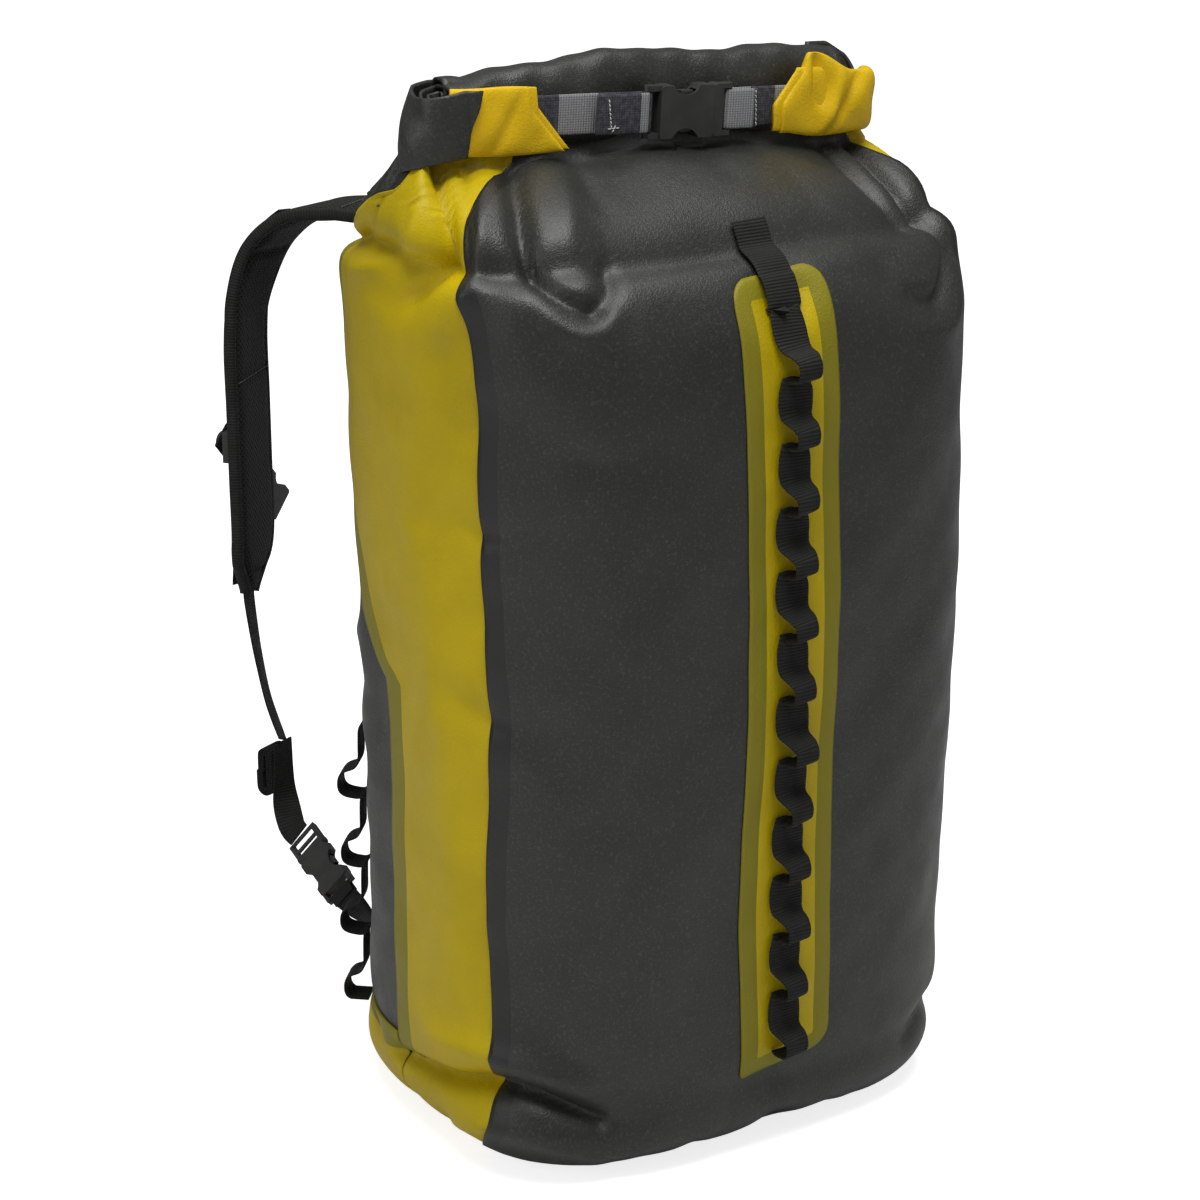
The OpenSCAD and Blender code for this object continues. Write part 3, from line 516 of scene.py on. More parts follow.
@lru_cache(maxsize=None)
def coated_fabric(name, tint, weld, speck, gloss=0.5):
    """Coated pack cloth: a fine grain with pale specks, and a flatter tone over the welds."""
    finish = Finish(name, 0.42, Specular_IOR_Level=gloss, Coat_Weight=0.2 * gloss, Coat_Roughness=0.30)
    broad = finish.between(finish.noise(9, 4), 0.3, 0.7)
    tone = finish.blend(broad, lighter(tint, 0.88), lighter(tint, 1.12))
    grains = finish.between(finish.noise(480, 3, 0.75), 0.52, 0.68)
    specked = finish.blend(finish.value("MULTIPLY", grains, speck), tone, lighter(tint, 3.4))
    pits = finish.between(finish.noise(760, 2, 0.6), 0.30, 0.46, 1, 0)
    pitted = finish.blend(finish.value("MULTIPLY", pits, speck), specked, lighter(tint, 0.45))
    seam = finish.between(finish.mark("weld"), 0.45, 0.55)
    base = finish.blend(seam, pitted, weld)
    roughness = finish.between(finish.noise(40, 3), 0.25, 0.75, 0.38, 0.52)
    cloth = finish.bump(finish.cells(900), 0.35, 0.0005)
    normal = finish.bump(finish.noise(460, 3), 0.42, 0.0006, cloth)
    return finish.done(base, roughness, normal)


@lru_cache(maxsize=None)
def woven(name, tint, rib_tint, pitch, stripes=None):
    """Woven webbing: ribs across it and faint threads along it."""
    finish = Finish(name, 0.75, Specular_IOR_Level=0.25, Sheen_Weight=0.03, Sheen_Roughness=0.5)
    across, along = finish.weave()
    wave = finish.value("SINE", finish.value("MULTIPLY", along, 2 * math.pi / pitch))
    threads = finish.value("SINE", finish.value("MULTIPLY", across, 2 * math.pi / (pitch * 0.8)))
    height = finish.value("MULTIPLY_ADD", threads, 0.25, wave)
    # painted highlight: the crowns of the ribs, where the height is high, are painted lighter in rib_tint
    crown_highlight = finish.between(height, -0.4, 1.1)
    base = finish.blend(crown_highlight, tint, rib_tint)
    if stripes:
        low, high, stops = stripes
        share = finish.value("DIVIDE", finish.value("SUBTRACT", along, low), high - low)
        banded = finish.stripes(share, stops)
        # painted shade: the low parts of the weave are darkened towards near-black
        base = finish.blend(finish.between(height, -1.2, 1.0, 0.35, 0), banded, (0.01, 0.01, 0.012))
    fuzz = finish.between(finish.noise(300, 3), 0.35, 0.75, 0, 0.35)
    base = finish.blend(fuzz, base, lighter(rib_tint, 0.6))
    roughness = finish.between(finish.noise(90, 2), 0.3, 0.7, 0.62, 0.82)
    normal = finish.bump(height, 0.5, 0.0004)
    return finish.done(base, roughness, normal)


@lru_cache(maxsize=None)
def moulded(name, tint):
    """Fine-textured black plastic, a little shinier and paler in random patches."""
    finish = Finish(name, 0.42, IOR=1.5)
    broad = finish.between(finish.noise(60, 3), 0.35, 0.7)
    base = finish.blend(broad, tint, lighter(tint, 1.35))
    roughness = finish.between(finish.noise(140, 3), 0.3, 0.7, 0.34, 0.50)
    return finish.done(base, roughness, finish.bump(finish.noise(2200, 2), 0.10, 0.0002))


@lru_cache(maxsize=None)
def spacer_mesh(name, tint):
    """Open knitted mesh over foam, in slanting rows, with painted shade in its holes."""
    finish = Finish(name, 0.8, Specular_IOR_Level=0.25, Sheen_Weight=0.04, Sheen_Roughness=0.4)
    across, along = finish.weave()
    slant = finish.value("ADD", across, along)
    other = finish.value("SUBTRACT", across, along)
    first = finish.value("SINE", finish.value("MULTIPLY", slant, 2 * math.pi / DIAMOND))
    second = finish.value("SINE", finish.value("MULTIPLY", other, 2 * math.pi / DIAMOND))
    height = finish.value("MAXIMUM", first, second)
    # 0 in the holes, which get painted shade, and 1 on the ridges of the mesh
    hole_shade_share = finish.between(height, -0.1, 0.8)
    base = finish.blend(hole_shade_share, lighter(tint, 0.35), lighter(tint, 2.4))
    return finish.done(base, None, finish.bump(height, 0.5, 0.0007))


@lru_cache(maxsize=None)
def sewing_thread(name, tint):
    finish = Finish(name, 0.6, IOR=1.45)
    twist = finish.value("SINE", finish.value("MULTIPLY", finish.weave()[1], 2 * math.pi / 0.0008))
    # painted shade: the thread is darker in the grooves of its twist
    base = finish.blend(finish.between(twist, -1, 1), lighter(tint, 0.7), tint)
    return finish.done(base, None, finish.bump(twist, 0.3, 0.0002))


def tint(name):
    return tuple(getattr(colours(), name))


def charcoal_cloth():
    return coated_fabric("charcoal cloth", tint("charcoal"), tint("charcoal_weld"), 0.50)


def yellow_cloth():
    return coated_fabric("yellow cloth", tint("yellow"), tint("olive"), 0.05, 0.22)


# the folded ends' cloth, painted brighter than the sides for the light on their tops, and a little more
# orange
def lit_cuff_cloth():
    return coated_fabric("cuff cloth", tint("cuff"), tint("olive"), 0.04, 0.22)


def black_webbing():
    return woven("black webbing", tint("webbing"), tint("webbing_rib"), 0.0021)


def charcoal_piece(name, bm, **more):
    """A piece of the sack's charcoal cloth, named after the node it stands for."""
    return make_piece(f"{name}_cloth", bm, charcoal_cloth(), "sack", "charcoal_fabric", [name], **more)


def yellow_piece(name, bm, material=None, **more):
    """A piece of the sack's yellow cloth, named after the node it stands for."""
    material = material or yellow_cloth()
    return make_piece(f"{name}_cloth", bm, material, "sack", "yellow_fabric", [name], **more)


def webbing_piece(name, bm, side=1, body="sack", **more):
    """A piece of black webbing, named after its node, built on the right and mirrored to its side."""
    bm = mirrored(bm, side)
    bmesh.ops.recalc_face_normals(bm, faces=bm.faces)
    return make_piece(f"{name}_cloth", bm, black_webbing(), body, "black_webbing", [name], **more)


# ---- The skin ----
class Fold:
    """A fold pressed into the skin: its route as turns and heights, and its size."""

    def __init__(self, route, width, depth):
        self.route = route
        self.width = width
        self.depth = depth


FOLDS = [
    # left shoulder, where the side panel is drawn in under the roll
    Fold([(214, 0.652), (206, 0.616), (194, 0.596), (184, 0.572)], 0.0065, -0.0150),
    Fold([(202, 0.648), (193, 0.618), (182, 0.596), (172, 0.574)], 0.0100, 0.0090),
    Fold([(224, 0.640), (217, 0.608), (205, 0.580), (198, 0.560)], 0.0080, 0.0080),
    Fold([(231, 0.650), (222, 0.630), (212, 0.604)], 0.0050, -0.0085),
    Fold([(170, 0.652), (160, 0.615), (148, 0.588)], 0.0090, -0.0100),
    Fold([(180, 0.640), (176, 0.612), (166, 0.590)], 0.0070, -0.0060),
    # front panel, left
    Fold([(243, 0.644), (234, 0.616), (232, 0.594), (238, 0.580), (244, 0.575)], 0.0058, -0.0125),
    Fold([(253, 0.634), (246, 0.612), (245, 0.596)], 0.0110, 0.0040),
    Fold([(232, 0.570), (240, 0.563), (248, 0.573)], 0.0055, 0.0045),
    Fold([(243, 0.574), (249, 0.586), (252, 0.602)], 0.0048, -0.0075),
    Fold([(259, 0.642), (257, 0.626)], 0.0060, -0.0040),
    # front panel, right
    Fold([(321, 0.644), (316, 0.619), (321, 0.598), (326, 0.580)], 0.0060, -0.0120),
    Fold([(333, 0.636), (328, 0.608), (332, 0.588)], 0.0100, 0.0045),
    Fold([(307, 0.644), (303, 0.625), (307, 0.605)], 0.0070, -0.0075),
    Fold([(293, 0.564), (302, 0.556), (310, 0.566), (318, 0.582)], 0.0075, -0.0085),
    Fold([(296, 0.545), (306, 0.539), (316, 0.552)], 0.0110, 0.0040),
    Fold([(348, 0.640), (350, 0.608), (2, 0.584)], 0.0090, -0.0100),
    # small nips along the left seam
    Fold([(197, 0.443), (208, 0.438), (217, 0.445)], 0.0080, -0.0034),
    Fold([(195, 0.331), (205, 0.322), (215, 0.317)], 0.0100, -0.0038),
    Fold([(226, 0.505), (240, 0.488), (252, 0.494)], 0.0170, -0.0036),
    # the foot, front left corner
    Fold([(178, 0.052), (190, 0.062), (204, 0.071), (222, 0.068), (240, 0.050)], 0.0062, -0.0165),
    Fold([(190, 0.030), (204, 0.044), (220, 0.042), (238, 0.026)], 0.0110, 0.0070),
    Fold([(184, 0.088), (200, 0.094), (218, 0.090), (234, 0.076)], 0.0110, 0.0070),
    Fold([(192, 0.004), (186, 0.024)], 0.0070, -0.0060),
    # the foot, front right, which is slack
    Fold([(262, 0.060), (276, 0.052), (290, 0.056)], 0.0120, -0.0040),
    Fold([(300, 0.050), (316, 0.058), (332, 0.050)], 0.0110, -0.0075),
    # the back
    Fold([(120, 0.644), (116, 0.605), (124, 0.575)], 0.0110, -0.0110),
    Fold([(62, 0.644), (64, 0.600), (56, 0.570)], 0.0110, -0.0110),
    Fold([(28, 0.640), (22, 0.606), (12, 0.586)], 0.0090, -0.0100),
    Fold([(150, 0.340), (160, 0.334), (168, 0.344)], 0.0130, 0.0035),
    Fold([(8, 0.070), (24, 0.062), (36, 0.050)], 0.0080, -0.0090),
    Fold([(146, 0.066), (158, 0.060), (170, 0.052)], 0.0080, -0.0080),
]

# Height, wavelength round the sack, wavelength up it, start
UNEVEN = [
    (0.0012, 0.190, 0.41, 0.4), (0.0008, -0.160, 0.25, 2.1), (0.0005, 0.115, -0.17, 4.0),
    (0.0003, 0.085, 0.090, 1.2), (0.00025, -0.070, 0.061, 5.1),
]
GATHERS = [(0.0012, 0.052, 0.9, 0.3), (0.0008, 0.034, -0.6, 2.2)]


class Skin:
    """The filled sack's outside, as a place for each turn round it and each height.
    Below the foot line, a height goes on counting down round the bottom edge."""

    STEEP = math.radians(80)
    SEAM_RISE = 0.060
    FRONT_SEAM, FRONT_SEAM_TOP, FRONT_SEAM_TOP_RIGHT, FRONT_SEAM_FOOT = 25.0, 65.0, 34.0, 12.0
    BACK_SEAM_LOW, BACK_SEAM_TOP, BACK_SEAM_SWING = 1.0, 26.0, 44.0

    def __init__(self, sizes):
        self.sizes = sizes
        front_out = 2 * sizes.fabric + sizes.weld_gap
        self.foot_z = (sizes.base_thickness + sizes.weld_gap
                       + (sizes.base_radius + front_out) * math.sin(self.STEEP))
        self.bottom = self.foot_z - sizes.base_radius * self.STEEP
        self.top = sizes.neck_height
        self.rim = self.top + 0.016
        self.turns = np.linspace(-360, 720, 21601)
        ring = self.plan(sizes.top_width / 2, sizes.depth / 2, self.turns)
        steps = np.hypot(*np.diff(ring, axis=0).T)
        self.rounds = np.concatenate([[0], np.cumsum(steps)])
        self.rounds -= np.interp(0, self.turns, self.rounds)
        self.sag = None

    def plan(self, half_width, half_depth, turn):
        power = 2 / self.sizes.squareness
        bearing = np.radians(turn)
        return np.stack([half_width * signed_power(np.cos(bearing), power),
                         half_depth * signed_power(np.sin(bearing), power)], -1)

    def round_at(self, turn):
        return np.interp(turn, self.turns, self.rounds)

    def turn_at(self, rounds):
        return np.interp(rounds, self.rounds, self.turns)

    def share_above(self, z, span):
        return np.clip((z - self.top + span) / span, 0, 1)

    def half_width(self, z):
        s = self.sizes
        full = s.foot_width + (s.top_width - s.foot_width) * np.minimum(1, z / (self.top - s.gather))
        neck = full - (full - s.neck_width) * self.share_above(z, s.gather) ** 2
        return neck / 2 * (1 - 0.05 * smooth_step(z, self.top, self.rim))

    def half_depth(self, z):
        s = self.sizes
        neck = s.depth - (s.depth - s.neck_depth) * self.share_above(z, s.taper) ** 5
        return neck / 2 * (1 - 0.45 * smooth_step(z, self.top, self.rim))

    def level(self, turn, height):
        """A point of the smooth skin, before its folds."""
        s = self.sizes
        steep = np.clip((self.foot_z - height) / s.base_radius, 0, None)
        z = np.maximum(height, self.foot_z)
        reach = s.base_radius * (np.cos(steep) - 1)
        ring = self.plan(self.half_width(z) + reach, self.half_depth(z) + reach, turn)
        z = z - s.base_radius * np.sin(steep)
        lean = self.share_above(z, s.taper) ** 2
        # the left shoulder is drawn up into the roll's folded end
        from_left = np.asarray(turn) % 360 - 178
        drawn = smooth_step(z, self.top - 0.030, self.rim) * np.exp(-(from_left / 26) ** 2)
        return np.stack([ring[..., 0] - s.shift * lean + 0.006 * drawn, ring[..., 1],
                         z - math.tan(s.lean) * ring[..., 0] * lean + 0.016 * drawn], -1)

    def outward(self, turn, height):
        near = 0.0012
        rounds = self.round_at(turn)
        ahead = self.level(self.turn_at(rounds + near), height)
        behind = self.level(self.turn_at(rounds - near), height)
        above = self.level(turn, np.minimum(height + near, self.rim))
        below = self.level(turn, height - near)
        return unit(np.cross(ahead - behind, above - below))

    def fold_height(self, turn, height):
        """How far the folds push the skin out."""
        rounds = self.round_at(turn)
        loop = self.round_at(360)
        out = np.zeros_like(rounds)
        for fold in FOLDS:
            route = np.array([(self.round_at(t), h) for t, h in fold.route])
            route = smooth_route(route, 8)
            for whole in (-loop, 0, loop):
                near = np.full(rounds.shape, 9.0)
                along = np.zeros(rounds.shape)
                total = distances(route)[-1]
                run = 0.0
                for a, b in zip(route[:-1], route[1:]):
                    step = b - a
                    size = np.hypot(*step)
                    share = np.clip(((rounds + whole - a[0]) * step[0] + (height - a[1]) * step[1])
                                    / size ** 2, 0, 1)
                    gap = np.hypot(rounds + whole - a[0] - share * step[0], height - a[1] - share * step[1])
                    closer = gap < near
                    near = np.where(closer, gap, near)
                    along = np.where(closer, (run + share * size) / total, along)
                    run += size
                strength = 0.55 + 0.45 * np.sin(np.pi * along)
                out += fold.depth * strength * np.exp(-(near / fold.width) ** 1.5)
        # the folds are softer where the neck is pressed into the roll
        out *= 1 - 0.6 * smooth_step(height, self.top - 0.008, self.rim)
        out += ripple(rounds, height, UNEVEN) * smooth_step(height, 0.0, 0.08)
        sides = 0.4 - 0.38 * np.exp(-((np.asarray(turn) % 360 - 272) / 42) ** 4)
        gathered = sides * smooth_step(height, self.top - 0.045, self.top) * (
            1 - smooth_step(height, self.top + 0.004, self.rim))
        return out + gathered * ripple(rounds, height, GATHERS)

    def sagged(self, turn, height):
        """What the cloth simulation moved, at a turn and height."""
        if self.sag is None:
            return 0.0
        rows, columns = self.sag.shape[:2]
        across = (self.round_at(turn) / self.round_at(360)) % 1 * columns
        up = np.clip((height - self.bottom) / (self.rim - self.bottom), 0, 1) * (rows - 1)
        i, j = np.floor(across).astype(int) % columns, np.minimum(np.floor(up).astype(int), rows - 2)
        s, t = (across - np.floor(across))[..., None], (up - j)[..., None]
        k = (i + 1) % columns
        return ((self.sag[j, i] * (1 - s) + self.sag[j, k] * s) * (1 - t)
                + (self.sag[j + 1, i] * (1 - s) + self.sag[j + 1, k] * s) * t)

    def place(self, turn, height, out):
        """A point of the folded skin, some way outside it."""
        turn, height = np.broadcast_arrays(np.asarray(turn, float), np.asarray(height, float))
        push = self.fold_height(turn, height) + out
        return (self.level(turn, height) + push[..., None] * self.outward(turn, height)
                + self.sagged(turn, height))

    # Seams, as turns at a height
    def true_z(self, height):
        steep = np.clip((self.foot_z - height) / self.sizes.base_radius, 0, None)
        return np.maximum(height, self.foot_z) - self.sizes.base_radius * np.sin(steep)

    def front_seam(self, height, top=FRONT_SEAM_TOP):
        z = self.true_z(height)
        low = (z - self.sizes.base_thickness) / (self.foot_z - self.sizes.base_thickness)
        foot = self.FRONT_SEAM_FOOT + (self.FRONT_SEAM - self.FRONT_SEAM_FOOT) * np.minimum(1, low)
        rise = (top - self.FRONT_SEAM) * self.share_above(z, self.SEAM_RISE) ** 2.5
        wander = 1.1 * np.sin(2 * np.pi * height / 0.27 + 0.6) * smooth_step(height, 0.05, 0.2)
        return 180 + foot + rise + wander * (1 - smooth_step(height, 0.5, 0.6))

    def front_seam_right(self, height):
        return 540 - self.front_seam(height, self.FRONT_SEAM_TOP_RIGHT)

    def back_seam(self, height):
        z = self.true_z(height)
        share = np.clip((z / self.top - 0.5) / 0.22, 0, 1)
        swing = self.BACK_SEAM_SWING * self.share_above(z, 0.052) ** 1.4
        return 180 - self.BACK_SEAM_LOW - (self.BACK_SEAM_TOP - self.BACK_SEAM_LOW) * share + swing


@lru_cache(maxsize=None)
def sack_skin():
    """The skin, with its cloth settled once for every piece that lies on it."""
    skin = Skin(shape())
    skin.sag = settled(skin)
    return skin


SETTLE_COLUMNS = 200
SETTLE_ROWS = 124
SETTLE_FRAMES = 16
SETTLE_CAP = 0.007
SETTLE_PUSH = 1.6
SLACK = -0.022


def settled(skin):
    """How far the filled sack's cloth moves under its contents' push, for rows and columns."""
    loop = skin.round_at(360)

    def place(u, v):
        return skin.place(skin.turn_at(u * loop), skin.bottom + v * (skin.rim - skin.bottom), 0.0)

    bm = sheet_mesh(SETTLE_COLUMNS, SETTLE_ROWS, place,
                    marks=lambda u, v: {"column": u * SETTLE_COLUMNS, "row": v * SETTLE_ROWS})
    bmesh.ops.remove_doubles(bm, verts=bm.verts, dist=1e-6)
    mesh = mesh_from("settling cloth", bm)
    cloth_piece = placed("settling_cloth", mesh)
    count = len(mesh.vertices)
    rows, columns = np.zeros(count, np.float32), np.zeros(count, np.float32)
    mesh.attributes["row"].data.foreach_get("value", rows)
    mesh.attributes["column"].data.foreach_get("value", columns)
    held = cloth_piece.vertex_groups.new(name="held")
    for k in np.flatnonzero((rows < 3) | (rows > SETTLE_ROWS - 2.5)):
        held.add([int(k)], 1.0, "REPLACE")
    start = vertex_places(mesh)
    end = run_cloth(cloth_piece, "held", SETTLE_PUSH, SLACK, SETTLE_FRAMES)
    bpy.data.objects.remove(cloth_piece)
    step = capped(end - start, SETTLE_CAP)
    sag = np.zeros((SETTLE_ROWS + 1, SETTLE_COLUMNS, 3))
    sag[np.rint(rows).astype(int), np.rint(columns).astype(int) % SETTLE_COLUMNS] = step
    for axis in (0, 1):
        sag = (np.roll(sag, 1, axis) + 2 * sag + np.roll(sag, -1, axis)) / 4
    sag[0] = sag[-1] = 0
    return sag


def capped(steps, most):
    """Moves no longer than the cap."""
    return steps * np.minimum(1, most / np.maximum(np.linalg.norm(steps, axis=1), 1e-9))[:, None]


def vertex_places(mesh):
    places = np.zeros(len(mesh.vertices) * 3, np.float32)
    mesh.vertices.foreach_get("co", places)
    return places.reshape(-1, 3).astype(float)


def run_cloth(piece, held, pressure, shrink, frames):
    """Runs a cloth simulation on a piece and returns where its points end."""
    cloth = piece.modifiers.new("Cloth", "CLOTH")
    settings = cloth.settings
    settings.quality = 6
    settings.mass = 0.3
    settings.tension_stiffness = settings.compression_stiffness = 18
    settings.shear_stiffness = 6
    settings.bending_stiffness = 0.6
    settings.use_pressure = True
    settings.uniform_pressure_force = pressure
    settings.shrink_min = shrink
    settings.effector_weights.gravity = 0
    cloth.point_cache.frame_start = 1
    cloth.point_cache.frame_end = frames
    if held:
        settings.vertex_group_mass = held
    scene = bpy.context.scene
    for number in range(1, frames + 1):
        scene.frame_set(number)
    evaluated = piece.evaluated_get(bpy.context.evaluated_depsgraph_get())
    places = vertex_places(evaluated.data)
    piece.modifiers.remove(cloth)
    scene.frame_set(1)
    return places


def skin_panel(low, high, start, end, out, weld=None):
    """A sheet on the skin from one seam to another. start and end give turns at a height."""
    skin = sack_skin()
    grain = shape().grain
    rows = max(4, round((high - low) / grain))
    middle = np.array([(low + high) / 2])
    wide = skin.round_at(end(middle)) - skin.round_at(start(middle))
    columns = max(4, round(float(wide[0]) / grain))

    def spot(u, v):
        height = low + v * (high - low)
        first, last = skin.round_at(start(height)), skin.round_at(end(height))
        return first + u * (last - first), height, first, last

    def place(u, v):
        rounds, height, _, _ = spot(u, v)
        return skin.place(skin.turn_at(rounds), height, out)

    def weave(u, v):
        rounds, height, _, _ = spot(u, v)
        return rounds, height

    def marks(u, v):
        rounds, height, first, last = spot(u, v)
        return {"weld": weld(rounds - first, last - rounds, height) if weld else np.zeros_like(u)}

    return sheet_mesh(columns, rows, place, weave, marks)


WELD = 0.013
BACK_WELD = 0.017
BACK_EDGE = 0.004
WELD_FADE = (0.560, 0.615)
BAND_LAP = 0.014
BAND_GAP = 0.3
YOKE_HALF = 0.105
YOKE_DROPS = (0.046, 0.118)
YOKE_WELD = 0.010


def band(distance, width):
    """1 within a weld's width of an edge and 0 beyond, over a narrow step."""
    return 1 - smooth_step(distance, width - 0.0008, width + 0.0008)


class PACKSACK_OT_panels(bpy.types.Operator):
    """Builds the welded panels of the sack"""

    bl_idname = "packsack.panels"
    bl_label = "Panels"

    def execute(self, context):
        sizes = shape()
        skin = sack_skin()
        lap = math.degrees(sizes.lap)
        side_out = sizes.fabric
        front_out = 2 * sizes.fabric + sizes.weld_gap
        back_out = -sizes.weld_gap
        bottom = skin.bottom
        band_lap = sizes.band_height - BAND_LAP

        wall = sizes.fabric

        front = skin_panel(bottom, skin.rim, skin.front_seam, skin.front_seam_right, front_out,
                           lambda a, b, h: band(np.minimum(a, b), WELD))
        charcoal_piece("front_panel", front, wall=wall)

        def side_weld(near_back, near_front, height):
            shown = smooth_step(height, band_lap - 0.002, band_lap) * (1 - smooth_step(height, *WELD_FADE))
            return band(near_back, BACK_WELD) * shown

        left = skin_panel(bottom, skin.rim, skin.back_seam, lambda h: skin.front_seam(h) + lap,
                          side_out, side_weld)
        yellow_piece("side_panel_left", left, wall=wall)
        right = skin_panel(bottom, skin.rim, lambda h: skin.front_seam_right(h) - lap,
                           lambda h: 540 - skin.back_seam(h), side_out, lambda a, b, h: side_weld(b, a, h))
        yellow_piece("side_panel_right", right, wall=wall)
        back = skin_panel(band_lap, skin.rim, lambda h: 180 - skin.back_seam(h) - lap,
                          lambda h: skin.back_seam(h) + lap, back_out,
                          lambda a, b, h: band(np.minimum(a, b), BACK_EDGE))
        charcoal_piece("back_panel", back, wall=wall)
        foot = skin_panel(bottom, sizes.band_height, lambda h: 180 - skin.back_seam(h) + BAND_GAP,
                          lambda h: skin.back_seam(h) - BAND_GAP, side_out,
                          lambda a, b, h: band(sizes.band_height - h, BACK_WELD))
        yellow_piece("base_band", foot, wall=wall)
        self.yoke(sizes, skin)
        self.base(sizes, skin)
        return {"FINISHED"}

    def yoke(self, sizes, skin):
        """The patch on the back that carries the shoulder straps, welded round its rim."""
        low, high = skin.top - YOKE_DROPS[1], skin.top - YOKE_DROPS[0]

        def rim(a, b, h):
            return band(np.minimum(np.minimum(a, b), np.minimum(h - low, high - h)), YOKE_WELD)

        patch = skin_panel(low, high, self.yoke_turn(skin, YOKE_HALF), self.yoke_turn(skin, -YOKE_HALF),
                           sizes.fabric, rim)
        charcoal_piece("yoke_patch", patch, wall=sizes.fabric)

    def yoke_turn(self, skin, x):
        """The turn on the back of the skin at a distance along X."""
        def turn(height):
            share = np.minimum(1, abs(x) / skin.half_width(np.asarray(height, float)))
            rise = np.degrees(np.arcsin(share ** (skin.sizes.squareness / 2)))
            return 90 - math.copysign(1, x) * rise
        return turn

    def base(self, sizes, skin):
        """The stiff base panel, with a rounded rim."""
        reach = -0.0010 - sizes.base_radius * (1 - math.cos(skin.STEEP))
        bm = bmesh.new()
        ring = skin.plan(skin.half_width(skin.foot_z) + reach, skin.half_depth(skin.foot_z) + reach,
                         skin.turn_at(steps_between(0, skin.round_at(360), 120)[:-1]))
        verts = [bm.verts.new((x, y, sizes.base_thickness)) for x, y in ring]
        face = bm.faces.new(verts)
        made = bmesh.ops.extrude_face_region(bm, geom=[face])
        lowered = [item for item in made["geom"] if isinstance(item, bmesh.types.BMVert)]
        bmesh.ops.translate(bm, vec=(0, 0, -sizes.base_thickness), verts=lowered)
        bmesh.ops.recalc_face_normals(bm, faces=bm.faces)
        charcoal_piece("base_panel", bm, bevel=0.0006)


# ---- The rolled mouth ----
ROLL_WIDTH = 0.292
ROLL_HEIGHT = 0.058
ROLL_DEPTH = 0.036
ROLL_TURNS = 2.5
BEND_Y = -0.010
BEND_RADIUS = 0.016
CUFF_Y = BEND_Y - BEND_RADIUS
COLLAR_WALL = 0.0022
# The crest of the roll: places along it, and how far each is raised
CREST_PLACES = [-0.146, -0.120, -0.075, -0.020, 0.050, 0.120, 0.146]
CREST_RISES = [-0.0110, -0.0060, -0.0005, 0.0030, 0.0055, 0.0075, 0.0060]
ROLL_WAVES = [(0.0010, 0.11, 0.09, 0.5), (0.0007, 0.062, -0.05, 2.4), (0.0004, 0.027, 0.04, 4.2)]
# The folded ends where they turn to the front: the heights of their edges at five places round the
# turn, and the radii of their three layers
BEND_STOPS = np.array([0.0, 0.22, 0.45, 0.70, 1.0]) * np.pi
BENDS = {
    -1: ([0.0185, 0.0165, 0.0125, 0.0135, 0.0185], [-0.027, -0.031, -0.033, -0.028, -0.0218],
         (0.0222, 0.0156, 0.0098)),
    1: ([0.0350, 0.0270, 0.0095, 0.0130, 0.0200], [-0.027, -0.022, -0.012, -0.014, -0.0170],
        (0.0158, 0.0118, 0.0076)),
}
BEND_SCALES = (1.0, 0.88, 0.74)
BEND_REACH = 0.012


def roll_frame():
    sizes = shape()
    sit = ROLL_HEIGHT / 2 - 0.002
    middle = Vector((-sizes.shift, 0, sizes.neck_height + 2 * sizes.fabric + sizes.weld_gap + sit))
    return Matrix.Translation(middle) @ Matrix.Rotation(sizes.lean, 4, "Y")


def no_weld(u, v):
    return {"weld": np.zeros_like(u)}


